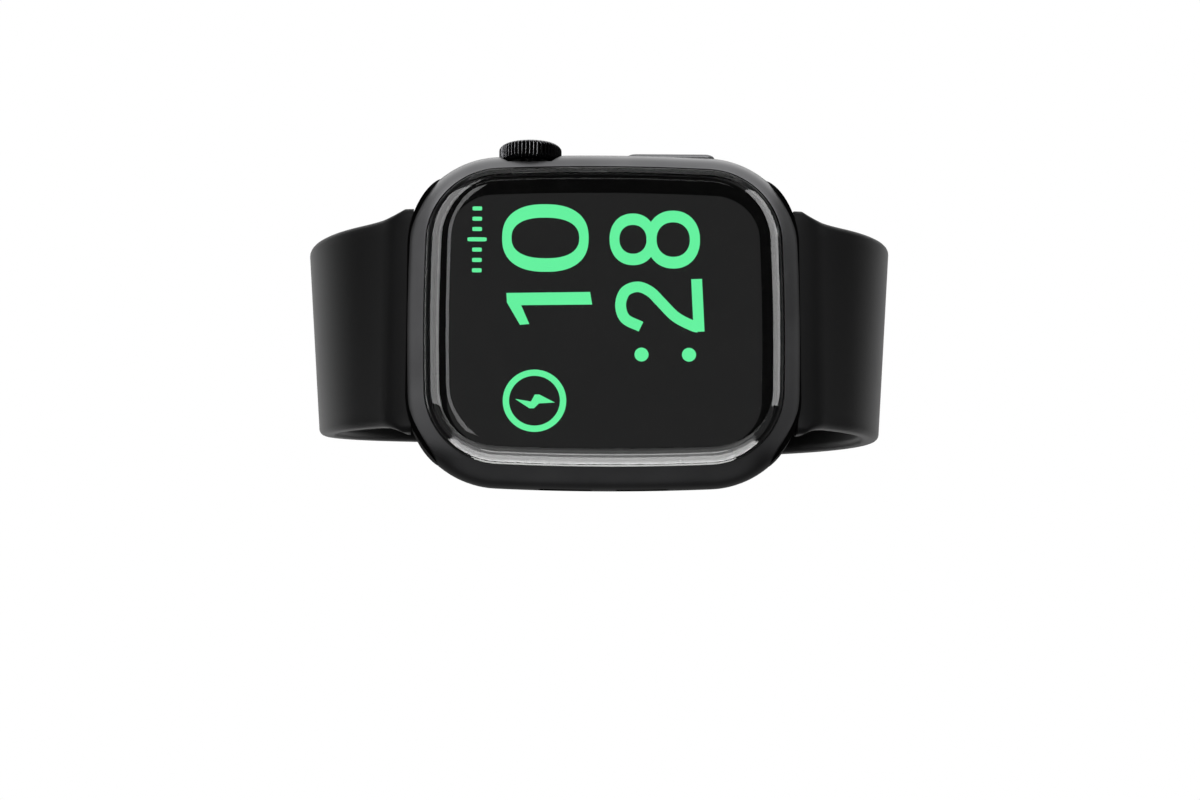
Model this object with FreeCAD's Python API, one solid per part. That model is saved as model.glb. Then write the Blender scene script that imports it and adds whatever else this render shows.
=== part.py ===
"""Smartwatch standing on its side, with its pin-and-tuck sport band closed.

The axes of the row: +X points to 6 o'clock of the dial, -Y is where the display faces, and +Z is the
crown side, which is up. The origin is the bottom centre of the bounding box. Lengths are millimetres.
"""
import FreeCAD, Part
import math
import os

# Case: length over the lugs (X), height across the dial (Z), and the whole thickness (Y)
CASE_LENGTH = 44.0
CASE_HEIGHT = 38.0
CASE_CORNER = 10.5
SIDE_BOW = 260.0          # radius of the faint bow in each side of the outline
SHELL_FRONT = 1.5         # depths are measured back from the crystal's outer face
SHELL_BACK = 9.3
SHELL_EDGE = 3.8          # radius that rounds the shell's sides
THICKNESS = 10.7
AXIS_DEPTH = 5.4          # depth of the crown, the side button and the band channels

LOOP_DEPTH = 58.0         # from the crystal to the rearmost face of the band
FRONT_Y = -LOOP_DEPTH / 2
MID_Z = CASE_HEIGHT / 2
TOP_Z = CASE_HEIGHT
AXIS_Y = FRONT_Y + AXIS_DEPTH

# Front opening, crystal and display
CRYSTAL_LENGTH = 39.4
CRYSTAL_HEIGHT = 33.6
CRYSTAL_CORNER = 8.3
CRYSTAL_EDGE = 2.2
CRYSTAL_BACK = 2.7
CRYSTAL_SKIN = 1.2
CRYSTAL_GAP = 0.15
LEDGE_DEPTH = 2.85
DISPLAY_LENGTH = 36.8
DISPLAY_HEIGHT = 30.8
DISPLAY_CORNER = 5.8
ACTIVE_LENGTH = 34.9
ACTIVE_HEIGHT = 28.7
ACTIVE_CORNER = 5.0
MASK_THICK = 0.1
PANEL_THICK = 0.9

# Cavity inside the shell
CAVITY_LENGTH = 33.8
CAVITY_HEIGHT = 32.8
CAVITY_CORNER = 6.0
CAVITY_BACK = 8.0
WALL = 2.6                # the wall on the lower side, where the speaker sits
BOARD_FRONT = 6.0
BOARD_BACK = 6.6
STACK_FRONT = 2.95        # front of the battery and the haptic drive
STACK_BACK = 5.9

# Back cover and sensor
BACK_LENGTH = 33.8
BACK_HEIGHT = 33.0
BACK_CORNER = 13.0
BACK_SEAT = 8.6
BACK_GAP = 0.2
BACK_OPENING_LENGTH = 30.6
BACK_OPENING_HEIGHT = 29.6
BACK_OPENING_CORNER = 11.0
SEAL_THICK = 0.15
BACK_FACE = 9.75
WINDOW_RADIUS = 11.3
WINDOW_INNER = 9.0
WINDOW_RIM = 9.65
ELECTRODE_INNER = 11.45
ELECTRODE_OUTER = 12.7
SENSOR_BOARD_BACK = 8.05
BAFFLE_BACK = 8.95
LED_REACH = 3.4           # distance of the lights from the sensor's centre
LED_RADIUS = 1.0
DIODE_REACH = 7.2
DIODE_HALF = 1.4
COIL_FRONT = 7.2
COIL_OUTER = 14.8
COIL_INNER = 11.6
FERRITE_FRONT = 6.78
FERRITE_INNER = 5.0
MAGNET_RADIUS = 4.2

# Board screws, speaker, microphone and haptic drive
SCREW_X = 13.6
SCREW_Z = 13.2
SCREW_RADIUS = 0.5
SCREW_HEAD = 1.0
SCREW_BOSS = 1.3
SPEAKER_SLOTS = (-4.2, 4.2)
SLOT_SIZE = (6.0, 1.0)
GRILLE_SIZE = (6.8, 1.8)
GRILLE_COLUMNS = 12
GRILLE_PITCH = 0.42
MIC_X = -1.2
MIC_HOLE = 0.35
HAPTIC_X = (4.3, 16.0)
HAPTIC_Z = (9.4, 27.6)
HAPTIC_WALL = 0.4
MASS_Z = (11.6, 25.4)

# Crown
CROWN_X = -8.2
CROWN_RADIUS = 3.5
CROWN_BASE = 37.05
CROWN_TOP = 39.05
CROWN_TEETH = 64
TOOTH_DEPTH = 0.14
CROWN_CHAMFER = 0.4
CROWN_POCKET = 36.6       # floor of the recess, clear of the knob when it is pressed in
CROWN_RECESS = 3.8
CROWN_SEAT = 38.6
SEAT_RADIUS = 2.8
CAP_RADIUS = 2.5
CAP_TOP = 39.15
RING_TOP = 39.07
SHAFT_RADIUS = 1.1
SHAFT_CLEARANCE = 0.05
SHAFT_FOOT = 30.6
SHAFT_TOP = 38.0
CLIP_FLOOR = 32.4
CLIP_THICK = 0.3
CLIP_RADIUS = 1.75
CLIP_GROOVE = 0.85
BUSHING_RADIUS = 2.0
BUSHING_FOOT = 33.1
ORING_Z = 35.9
ORING_SEAT = 1.8
ORING_WIRE = 0.3

# Side button
BUTTON_X = 7.5
BUTTON_LENGTH = 10.0
BUTTON_WIDTH = 2.4
BUTTON_GAP = 0.15
BUTTON_TOP = 38.15
BUTTON_BASE = 36.9
BUTTON_POCKET = 36.5
POST_RADIUS = 0.6
POST_SPREAD = 2.9
POST_CLEARANCE = 0.06
POST_SEAL_SEAT = 0.55     # extra radius of the hole where the seal sits
SEAL_FLOOR = 35.9
BRIDGE_TOP = 34.95

# Band channels and release buttons
CHANNEL_X = 20.1
CHANNEL_RADIUS = 2.1
CHANNEL_MOUTH = 1.7
RAIL_RADIUS = 2.02
RELEASE_X = 18.9
RELEASE_LENGTH = 8.0
RELEASE_WIDTH = 1.7
RELEASE_FACE = 9.15
RELEASE_INNER = 8.2
RELEASE_GAP = 0.12
LATCH_LENGTH = 7.4
LATCH_WIDTH = 1.3
LATCH_GAP = 0.06
LATCH_FLOOR = AXIS_DEPTH + 0.55
SPRING_ROOM = 0.75
SPRING_RADIUS = 0.36
SPRING_WIRE = 0.1
SPRING_PITCH = 0.27
SPRING_HEIGHT = 0.41
SPRING_SPREAD = 2.4

# Band
STRAP_THICK = 2.3
LAYER_GAP = 0.2
LAYER = STRAP_THICK + LAYER_GAP
STRAP_WIDTH = 23.4
STRAP_SLOT_WIDTH = 22.6
TAIL_WIDTH = 18.8
LUG_FLARE = 2.0
FLARE_LENGTH = 1.6
ROOT_X = 21.8
ROOT_HALF_THICK = 1.45
END_CLEAR_X = 22.15       # the straps stay outside this, but for what fills the channel's mouth
# Centre line of one half of the loop: heading at the end of each stretch (0 is +X, 90 is +Y) and radius
ROOT_HEADING = 25.0
SHOULDER_HEADING = 50.0
SHOULDER_RADIUS = 5.0
SHOULDER_RUN = 5.2
CHEEK_RADIUS = 24.0
HIP_HEADING = 135.0
LOOP_RISE = 0.095         # how far the loop climbs to the crown side for each millimetre back from the lugs
LOOP_LEAN = 4.2           # degrees by which the band opens outwards towards the crown side
LEAN_RAMP = 22.0          # length over which the band takes up its lean
STUD_AHEAD = 4.0          # stud and slot, measured along the band from the rear centre
SLOT_BEHIND = 12.5
SLOT_LENGTH = 9.4
SLOT_WIDTH = 19.5
STUD_END = 11.0
STUD_PROUD = 0.75
STUD_SHANK = 1.2
STUD_NECK = 1.7
STUD_HEAD = 2.9
STUD_FOOT = 2.4
LAYER_RAMP = 11.0         # length over which the tucking half climbs or dives
CLIMB_END = 12.5
DIVE_START = 5.5
HOLE_RADIUS = 2.2
HOLE_PITCH = 6.8
HOLES_EACH_WAY = 3
TAIL_BEHIND = 42.0


def vec(x, y, z):
    """A point or direction."""
    return FreeCAD.Vector(x, y, z)


def deep(depth):
    """Y of a depth behind the crystal's outer face."""
    return FRONT_Y + depth


def export(name, shape):
    """Write one node."""
    shape.exportStep("parts/" + name + ".step")


def outline_wire(length, height, corner, y):
    """Rounded outline with faintly bowed sides, every stretch tangent to the next."""
    half_x = length / 2
    half_z = height / 2
    reach = SIDE_BOW - corner
    top_centre = vec(0, 0, half_z - SIDE_BOW)
    end_centre = vec(half_x - SIDE_BOW, 0, 0)
    apart = end_centre - top_centre
    across = vec(apart.z, 0, -apart.x).normalize()
    if across.x < 0:
        across = across * -1
    rise = math.sqrt(reach ** 2 - (apart.Length / 2) ** 2)
    corner_centre = (top_centre + end_centre) * 0.5 + across * rise
    on_top = top_centre + (corner_centre - top_centre) * (SIDE_BOW / reach)
    on_end = end_centre + (corner_centre - end_centre) * (SIDE_BOW / reach)
    toward = (on_top + on_end - corner_centre * 2).normalize()
    on_corner = corner_centre + toward * corner
    edges = []
    for sx, sz in ((1, 1), (1, -1), (-1, -1), (-1, 1)):
        arc = [vec(sx * p.x, y, MID_Z + sz * p.z) for p in (on_top, on_corner, on_end)]
        if sx * sz < 0:
            arc.reverse()
        edges.append(Part.Arc(arc[0], arc[1], arc[2]).toShape())
        if sx * sz > 0:
            last = vec(arc[2].x, y, 2 * MID_Z - arc[2].z)
            middle = vec(sx * half_x, y, MID_Z)
        else:
            last = vec(-arc[2].x, y, arc[2].z)
            middle = vec(0, y, MID_Z + sz * half_z)
        edges.append(Part.Arc(arc[2], middle, last).toShape())
    return Part.Wire(edges)


def slab(length, height, corner, front, back):
    """Plate with the rounded outline, between two depths."""
    face = Part.Face(outline_wire(length, height, corner, deep(front)))
    return face.extrude(vec(0, back - front, 0))


def round_rim(solid, depth, radius):
    """Round every edge of a plate that lies at one depth."""
    rim = []
    for edge in solid.Edges:
        box = edge.BoundBox
        if abs(box.YMin - deep(depth)) < 1e-4 and abs(box.YMax - deep(depth)) < 1e-4:
            rim.append(edge)
    return solid.makeFillet(radius, rim)


def ring(outer, inner):
    """One plate with another cut out of it."""
    return outer.cut(inner)


def box(x0, x1, front, back, z0, z1):
    """Block between two X, two depths and two Z."""
    return Part.makeBox(x1 - x0, back - front, z1 - z0, vec(x0, deep(front), z0))


def post(radius, x, depth, z0, z1):
    """Round bar along Z."""
    return Part.makeCylinder(radius, z1 - z0, vec(x, deep(depth), z0), vec(0, 0, 1))


def disc(radius, front, back, x=0.0, z=MID_Z):
    """Round plate facing the wrist."""
    return Part.makeCylinder(radius, back - front, vec(x, deep(front), z), vec(0, 1, 0))


def pill_z(length, width, x, z0, z1):
    """Bar with round ends that stands along Z, its long side along X."""
    half = (length - width) / 2
    bar = Part.makeBox(2 * half, width, z1 - z0, vec(x - half, AXIS_Y - width / 2, z0))
    for side in (-1, 1):
        bar = bar.fuse(post(width / 2, x + side * half, AXIS_DEPTH, z0, z1))
    return bar.removeSplitter()


def pill_y(length, width, x, front, back):
    """Bar with round ends that stands along Y, its long side along Z."""
    half = (length - width) / 2
    bar = box(x - width / 2, x + width / 2, front, back, MID_Z - half, MID_Z + half)
    for side in (-1, 1):
        bar = bar.fuse(disc(width / 2, front, back, x, MID_Z + side * half))
    return bar.removeSplitter()


# ---------------------------------------------------------------- case and front

def screw_places():
    """X and Z of the four board screws."""
    return [(sx * SCREW_X, MID_Z + sz * SCREW_Z) for sx in (-1, 1) for sz in (-1, 1)]


def case_shell():
    """Aluminium shell: rounded outside, stepped front opening, cavity, back seat and all its holes."""
    shell = slab(CASE_LENGTH, CASE_HEIGHT, CASE_CORNER, SHELL_FRONT, SHELL_BACK)
    shell = round_rim(shell, SHELL_FRONT, SHELL_EDGE)
    shell = round_rim(shell, SHELL_BACK, SHELL_EDGE)
    gap = 2 * CRYSTAL_GAP
    cuts = [
        slab(CRYSTAL_LENGTH + gap, CRYSTAL_HEIGHT + gap, CRYSTAL_CORNER + CRYSTAL_GAP, 0, LEDGE_DEPTH),
        slab(CAVITY_LENGTH, CAVITY_HEIGHT, CAVITY_CORNER, LEDGE_DEPTH - 0.5, CAVITY_BACK),
        slab(BACK_OPENING_LENGTH, BACK_OPENING_HEIGHT, BACK_OPENING_CORNER, CAVITY_BACK - 0.5,
             BACK_SEAT + 0.5),
        slab(BACK_LENGTH + 2 * BACK_GAP, BACK_HEIGHT + 2 * BACK_GAP, BACK_CORNER + BACK_GAP,
             BACK_SEAT, THICKNESS),
        post(CROWN_RECESS, CROWN_X, AXIS_DEPTH, CROWN_POCKET, TOP_Z + 1),
        post(BUSHING_RADIUS, CROWN_X, AXIS_DEPTH, TOP_Z - 4, TOP_Z),
        pill_z(BUTTON_LENGTH + 2 * BUTTON_GAP, BUTTON_WIDTH + 2 * BUTTON_GAP, BUTTON_X,
               BUTTON_POCKET, TOP_Z + 1),
        post(MIC_HOLE, MIC_X, AXIS_DEPTH, TOP_Z - 4, TOP_Z + 1),
    ]
    for x in SPEAKER_SLOTS:
        cuts.append(pill_z(SLOT_SIZE[0], SLOT_SIZE[1], x, -1, WALL + 1))
        cuts.append(pill_z(GRILLE_SIZE[0], GRILLE_SIZE[1], x, WALL - 0.9, WALL + 1))
    for side in (-1, 1):
        post_x = BUTTON_X + side * POST_SPREAD
        cuts.append(post(POST_RADIUS + POST_SEAL_SEAT, post_x, AXIS_DEPTH, SEAL_FLOOR, TOP_Z))
        cuts.append(post(POST_RADIUS + POST_CLEARANCE, post_x, AXIS_DEPTH, TOP_Z - 4, TOP_Z))
        cuts.append(post(CHANNEL_RADIUS, side * CHANNEL_X, AXIS_DEPTH, -1, TOP_Z + 1))
        mouth = sorted((side * CHANNEL_X, side * (CHANNEL_X + 5)))
        cuts.append(box(mouth[0], mouth[1], AXIS_DEPTH - CHANNEL_MOUTH, AXIS_DEPTH + CHANNEL_MOUTH,
                        -1, TOP_Z + 1))
        cuts.append(pill_y(RELEASE_LENGTH + 2 * RELEASE_GAP, RELEASE_WIDTH + 2 * RELEASE_GAP,
                           side * RELEASE_X, AXIS_DEPTH, THICKNESS))
    for cut in cuts:
        shell = shell.cut(cut)
    for x, z in screw_places():
        boss = disc(SCREW_BOSS, BOARD_BACK + 0.05, CAVITY_BACK, x, z)
        shell = shell.fuse(boss)
        shell = shell.cut(disc(SCREW_RADIUS + 0.02, BOARD_FRONT, 7.8, x, z))
    return shell.removeSplitter()


def front_crystal():
    """Curved-edge crystal with a pocket behind for the laminated display."""
    crystal = slab(CRYSTAL_LENGTH, CRYSTAL_HEIGHT, CRYSTAL_CORNER, 0, CRYSTAL_BACK)
    crystal = round_rim(crystal, 0, CRYSTAL_EDGE)
    pocket = slab(DISPLAY_LENGTH + 0.2, DISPLAY_HEIGHT + 0.2, DISPLAY_CORNER + 0.1,
                  CRYSTAL_SKIN, CRYSTAL_BACK + 1)
    return crystal.cut(pocket)


def display_mask():
    """Black printed border around the lit area."""
    outer = slab(DISPLAY_LENGTH, DISPLAY_HEIGHT, DISPLAY_CORNER, CRYSTAL_SKIN, CRYSTAL_SKIN + MASK_THICK)
    inner = slab(ACTIVE_LENGTH, ACTIVE_HEIGHT, ACTIVE_CORNER, CRYSTAL_SKIN - 1, CRYSTAL_SKIN + 1)
    return ring(outer, inner)


def display_panel():
    """OLED panel laminated behind the crystal."""
    front = CRYSTAL_SKIN + MASK_THICK
    return slab(DISPLAY_LENGTH, DISPLAY_HEIGHT, DISPLAY_CORNER, front, front + PANEL_THICK)


def display_flex():
    """Ribbon cable folded from the back of the panel to the board."""
    panel_back = CRYSTAL_SKIN + MASK_THICK + PANEL_THICK
    upper = box(-3, 3, panel_back, panel_back + 0.2, 29.6, 32.8)
    drop = box(-3, 3, panel_back, BOARD_FRONT, 32.6, 32.8)
    foot = box(-3, 3, BOARD_FRONT - 0.2, BOARD_FRONT, 30.8, 32.8)
    return upper.fuse(drop).fuse(foot).removeSplitter()


def front_seal():
    """Adhesive gasket between the crystal and the ledge of the shell."""
    outer = slab(CRYSTAL_LENGTH - 0.2, CRYSTAL_HEIGHT - 0.2, CRYSTAL_CORNER - 0.1, CRYSTAL_BACK, LEDGE_DEPTH)
    inner = slab(DISPLAY_LENGTH + 0.8, DISPLAY_HEIGHT + 0.8, DISPLAY_CORNER + 0.4, 0, THICKNESS)
    return ring(outer, inner)


# ---------------------------------------------------------------- electronics

def battery():
    """Pouch cell with softened edges."""
    cell = box(-16.2, 3.2, STACK_FRONT, STACK_BACK, 7.0, 28.2)
    return cell.makeFillet(0.6, cell.Edges)


def main_board():
    """Board with cut-outs for the crown, the side button and the speaker, and four screw holes."""
    board = slab(32.8, 31.8, 5.6, BOARD_FRONT, BOARD_BACK)
    board = board.cut(box(-11.2, -5.2, 5, 7, 28.6, 40))
    board = board.cut(box(3.6, 11.6, 5, 7, 32.4, 40))
    board = board.cut(box(-9.0, 9.0, 5, 7, 0, 6.6))
    for x, z in screw_places():
        board = board.cut(disc(SCREW_RADIUS + 0.12, 5, 7, x, z))
    return board


def processor_module():
    """Sealed module on the back of the board, beside the coil."""
    return box(-3.6, 3.6, BOARD_BACK, BOARD_BACK + 0.12, 24.0, 31.0).fuse(
        box(-6.0, 6.0, BOARD_BACK, BOARD_BACK + 0.12, 9.0, 24.0)).removeSplitter()


def chassis_screws():
    """Four screws that hold the board to the bosses of the shell."""
    screws = []
    for x, z in screw_places():
        head = disc(SCREW_HEAD, BOARD_FRONT - 0.55, BOARD_FRONT, x, z)
        shank = disc(SCREW_RADIUS, BOARD_FRONT - 0.1, 7.7, x, z)
        slot = box(x - 0.12, x + 0.12, 5.0, 5.7, z - 2, z + 2)
        screws.append(head.fuse(shank).cut(slot).removeSplitter())
    return Part.makeCompound(screws)


def haptic_housing():
    """Closed can of the linear haptic drive."""
    can = box(HAPTIC_X[0], HAPTIC_X[1], STACK_FRONT, STACK_BACK, HAPTIC_Z[0], HAPTIC_Z[1])
    room = box(HAPTIC_X[0] + HAPTIC_WALL, HAPTIC_X[1] - HAPTIC_WALL, STACK_FRONT + HAPTIC_WALL,
               STACK_BACK - HAPTIC_WALL, HAPTIC_Z[0] + HAPTIC_WALL, HAPTIC_Z[1] - HAPTIC_WALL)
    return can.cut(room)


def haptic_mass():
    """Tungsten mass that shuttles along Z inside the can."""
    mass = box(HAPTIC_X[0] + 0.7, HAPTIC_X[1] - 0.7, STACK_FRONT + 0.65, STACK_BACK - 0.65,
               MASS_Z[0], MASS_Z[1])
    return mass.makeFillet(0.25, mass.Edges)


def haptic_spring(z0, z1):
    """Folded leaf spring between an end of the can and the mass."""
    left = HAPTIC_X[0] + 1.4
    right = HAPTIC_X[1] - 1.4
    front = STACK_FRONT + 0.75
    back = STACK_BACK - 0.75
    leaf = 0.16
    middle = (z0 + z1) / 2
    spring = box(left, right, front, back, z0, z0 + leaf)
    spring = spring.fuse(box(left, right, front, back, middle - leaf / 2, middle + leaf / 2))
    spring = spring.fuse(box(left, right, front, back, z1 - leaf, z1))
    spring = spring.fuse(box(left, left + leaf, front, back, z0, middle))
    spring = spring.fuse(box(right - leaf, right, front, back, middle, z1))
    return spring.removeSplitter()


def speaker_module():
    """Speaker box along the lower side of the case."""
    body = box(-8.4, 8.4, 3.2, STACK_BACK, WALL + 0.2, 6.2)
    return body.makeFillet(0.4, body.Edges)


def speaker_grilles():
    """Two woven grilles that sit behind the slots."""
    grilles = []
    for x in SPEAKER_SLOTS:
        grille = pill_z(GRILLE_SIZE[0] - 0.1, GRILLE_SIZE[1] - 0.1, x, WALL - 0.85, WALL - 0.6)
        holes = []
        for column in range(GRILLE_COLUMNS):
            hole_x = x + (column - (GRILLE_COLUMNS - 1) / 2) * GRILLE_PITCH
            for row in (-1, 1):
                holes.append(post(GRILLE_PITCH / 3, hole_x, AXIS_DEPTH + row * GRILLE_PITCH / 2, 0, 5))
        grilles.append(grille.cut(Part.makeCompound(holes)))
    return Part.makeCompound(grilles)


def microphone():
    """Microphone can behind its pin hole."""
    return box(MIC_X - 1.5, MIC_X + 1.5, 3.9, STACK_BACK, 34.1, 35.3)


# ---------------------------------------------------------------- crown

def knurled_bar(radius, tooth, count, z0, z1):
    """Bar along Z with pointed teeth around it."""
    points = []
    for step in range(2 * count):
        angle = math.pi * step / count
        reach = radius if step % 2 == 0 else radius - tooth
        points.append(vec(CROWN_X + reach * math.cos(angle), AXIS_Y + reach * math.sin(angle), z0))
    points.append(points[0])
    return Part.Face(Part.makePolygon(points)).extrude(vec(0, 0, z1 - z0))


def crown_knob():
    """Knurled knob with chamfered rims, a seat on top and a hole for the shaft."""
    bar = knurled_bar(CROWN_RADIUS, TOOTH_DEPTH, CROWN_TEETH, CROWN_BASE, CROWN_TOP)
    blank = post(CROWN_RADIUS + 0.1, CROWN_X, AXIS_DEPTH, CROWN_BASE, CROWN_TOP)
    blank = blank.makeChamfer(CROWN_CHAMFER, [e for e in blank.Edges if e.Length > 10])
    knob = bar.common(blank)
    knob = knob.cut(post(SEAT_RADIUS, CROWN_X, AXIS_DEPTH, CROWN_SEAT, CROWN_TOP + 1))
    return knob.cut(post(SHAFT_RADIUS, CROWN_X, AXIS_DEPTH, SHAFT_FOOT, SHAFT_TOP))


def crown_ring():
    """Insulating ring between the knob and its cap."""
    outer = post(SEAT_RADIUS, CROWN_X, AXIS_DEPTH, CROWN_SEAT, RING_TOP)
    return ring(outer, post(CAP_RADIUS, CROWN_X, AXIS_DEPTH, CROWN_SEAT - 1, CROWN_TOP + 1))


def crown_cap():
    """Touch cap with a softened rim."""
    cap = post(CAP_RADIUS, CROWN_X, AXIS_DEPTH, CROWN_SEAT, CAP_TOP)
    return cap.makeFillet(0.2, [e for e in cap.Edges if abs(e.BoundBox.ZMin - CAP_TOP) < 1e-4])


def crown_shaft():
    """Shaft from the knob through the bushing to the shear plate."""
    shaft = post(SHAFT_RADIUS, CROWN_X, AXIS_DEPTH, SHAFT_FOOT, SHAFT_TOP)
    groove = ring(post(CLIP_RADIUS, CROWN_X, AXIS_DEPTH, CLIP_FLOOR, CLIP_FLOOR + CLIP_THICK),
                  post(CLIP_GROOVE, CROWN_X, AXIS_DEPTH, CLIP_FLOOR - 1, CLIP_FLOOR + 1))
    return shaft.cut(groove)


def crown_clip():
    """Open clip in the groove of the shaft, which keeps the crown from pulling out."""
    slack = 0.02
    clip = post(CLIP_RADIUS, CROWN_X, AXIS_DEPTH, CLIP_FLOOR + slack, CLIP_FLOOR + CLIP_THICK - slack)
    clip = clip.cut(post(CLIP_GROOVE + slack, CROWN_X, AXIS_DEPTH, CLIP_FLOOR - 1, CLIP_FLOOR + 1))
    mouth = 1.2
    return clip.cut(Part.makeBox(mouth, 3, 2, vec(CROWN_X - mouth / 2, AXIS_Y, CLIP_FLOOR - 1)))


def crown_bushing():
    """Sleeve in the wall of the shell, with a seat for the O-ring."""
    sleeve = post(BUSHING_RADIUS, CROWN_X, AXIS_DEPTH, BUSHING_FOOT, CROWN_POCKET)
    sleeve = sleeve.cut(post(SHAFT_RADIUS + SHAFT_CLEARANCE, CROWN_X, AXIS_DEPTH, BUSHING_FOOT - 1, TOP_Z))
    return sleeve.cut(post(ORING_SEAT, CROWN_X, AXIS_DEPTH, ORING_Z - 0.4, ORING_Z + 0.4))


def crown_oring():
    """O-ring around the shaft."""
    centre = vec(CROWN_X, AXIS_Y, ORING_Z)
    return Part.makeTorus(ORING_SEAT - ORING_WIRE - 0.03, ORING_WIRE, centre, vec(0, 0, 1))


def crown_shear_plate():
    """Plate that the shaft turns against and pushes on to the switch."""
    return post(1.25, CROWN_X, AXIS_DEPTH, SHAFT_FOOT - 0.35, SHAFT_FOOT - 0.05)


def crown_switch():
    """Dome switch under the shear plate."""
    base_top = SHAFT_FOOT - 1.2
    base = post(1.3, CROWN_X, AXIS_DEPTH, base_top - 0.5, base_top)
    dome = Part.makeCone(1.1, 0.5, 0.4, vec(CROWN_X, AXIS_Y, base_top), vec(0, 0, 1))
    return base.fuse(dome)


def crown_encoder():
    """Optical reader that watches the shaft turn."""
    return box(CROWN_X - 2, CROWN_X + 2, 3.2, 4.1, SHAFT_FOOT, CLIP_FLOOR - 0.6)


# ---------------------------------------------------------------- side button

def button_posts(radius, z0, z1):
    """Two round bars under the ends of the side button."""
    return [post(radius, BUTTON_X + side * POST_SPREAD, AXIS_DEPTH, z0, z1) for side in (-1, 1)]


def side_button_cap():
    """Long key with a crowned top that follows the side of the case."""
    cap = pill_z(BUTTON_LENGTH, BUTTON_WIDTH, BUTTON_X, BUTTON_BASE, BUTTON_TOP)
    rim = [e for e in cap.Edges if abs(e.BoundBox.ZMin - BUTTON_TOP) < 1e-4]
    return cap.makeFillet(0.45, rim)


def side_button_posts():
    """Two posts that carry the push through the wall."""
    return Part.makeCompound(button_posts(POST_RADIUS, BRIDGE_TOP, BUTTON_BASE))


def side_button_bridge():
    """Bar that joins the posts and presses the switch."""
    return box(BUTTON_X - 3.7, BUTTON_X + 3.7, 4.8, STACK_BACK + 0.05, BRIDGE_TOP - 0.3, BRIDGE_TOP)


def side_button_seals():
    """Two rubber rings around the posts."""
    seals = []
    for side in (-1, 1):
        centre = vec(BUTTON_X + side * POST_SPREAD, AXIS_Y, SEAL_FLOOR + 0.3)
        seals.append(Part.makeTorus(POST_RADIUS + 0.3, 0.24, centre, vec(0, 0, 1)))
    return Part.makeCompound(seals)


def side_button_switch():
    """Tactile switch under the bridge."""
    body = box(BUTTON_X - 2.4, BUTTON_X + 2.4, 4.2, STACK_BACK, 33.1, 33.9)
    return body.fuse(post(0.7, BUTTON_X, 5.1, 33.9, 34.3)).removeSplitter()


# ---------------------------------------------------------------- back

def back_cover():
    """Ceramic back with a stepped round hole for the sensor window."""
    cover = slab(BACK_LENGTH, BACK_HEIGHT, BACK_CORNER, BACK_SEAT + SEAL_THICK, BACK_FACE)
    cover = round_rim(cover, BACK_FACE, 0.7)
    cover = cover.cut(disc(WINDOW_RADIUS - 0.4, 8, THICKNESS))
    return cover.cut(disc(ELECTRODE_OUTER + 0.05, WINDOW_INNER, THICKNESS))


def back_seal():
    """Gasket between the back cover and the shell."""
    outer = slab(BACK_LENGTH - 0.6, BACK_HEIGHT - 0.6, BACK_CORNER - 0.3, BACK_SEAT, BACK_SEAT + SEAL_THICK)
    lip = 0.3
    inner = slab(BACK_OPENING_LENGTH + 2 * lip, BACK_OPENING_HEIGHT + 2 * lip, BACK_OPENING_CORNER + lip,
                 CAVITY_BACK, BACK_FACE)
    return ring(outer, inner)


def electrode_ring():
    """Metal contact ring around the sensor window."""
    outer = disc(ELECTRODE_OUTER, WINDOW_INNER, BACK_FACE + 0.05)
    return ring(outer, disc(ELECTRODE_INNER, 8, THICKNESS))


def sensor_window():
    """Domed crystal over the optical sensor."""
    crown = THICKNESS - WINDOW_RIM
    sphere_radius = (WINDOW_RADIUS ** 2 + crown ** 2) / (2 * crown)
    ball = Part.makeSphere(sphere_radius, vec(0, deep(THICKNESS) - sphere_radius, MID_Z))
    return disc(WINDOW_RADIUS, WINDOW_INNER, THICKNESS + 0.5).common(ball)


def spokes(count, reach, start):
    """X and Z of places spread evenly around the sensor's centre."""
    places = []
    for step in range(count):
        angle = math.radians(start + 360.0 * step / count)
        places.append((reach * math.cos(angle), MID_Z + reach * math.sin(angle)))
    return places


def light_baffle():
    """Black mask under the window, with an opening over each light and each photodiode."""
    baffle = disc(10.6, SENSOR_BOARD_BACK + 0.01, BAFFLE_BACK)
    for x, z in spokes(4, LED_REACH, 45):
        baffle = baffle.cut(disc(LED_RADIUS + 0.25, CAVITY_BACK, WINDOW_INNER, x, z))
    half = DIODE_HALF + 0.2
    for x, z in spokes(4, DIODE_REACH, 0):
        baffle = baffle.cut(box(x - half, x + half, CAVITY_BACK, WINDOW_INNER, z - half, z + half))
    return baffle


def sensor_board():
    """Round board behind the window."""
    return disc(10.7, SENSOR_BOARD_BACK - 0.45, SENSOR_BOARD_BACK)


def sensor_leds():
    """Light sources, one in each round opening of the baffle."""
    top = SENSOR_BOARD_BACK + 0.45
    return Part.makeCompound([disc(LED_RADIUS, SENSOR_BOARD_BACK, top, x, z)
                              for x, z in spokes(4, LED_REACH, 45)])


def photodiodes():
    """Light receivers, one in each square opening of the baffle."""
    half = DIODE_HALF
    top = SENSOR_BOARD_BACK + 0.4
    return Part.makeCompound([box(x - half, x + half, SENSOR_BOARD_BACK, top, z - half, z + half)
                              for x, z in spokes(4, DIODE_REACH, 0)])


def charging_coil():
    """Flat charging winding around the sensor."""
    return ring(disc(COIL_OUTER, COIL_FRONT, COIL_FRONT + 0.7), disc(COIL_INNER, 7, CAVITY_BACK))


def coil_ferrite():
    """Shield in front of the coil."""
    return ring(disc(COIL_OUTER, FERRITE_FRONT, COIL_FRONT - 0.05), disc(FERRITE_INNER, 6, CAVITY_BACK))


def alignment_magnet():
    """Magnet that centres the charger."""
    return disc(MAGNET_RADIUS, FERRITE_FRONT, 7.5)


# ---------------------------------------------------------------- band

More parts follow.
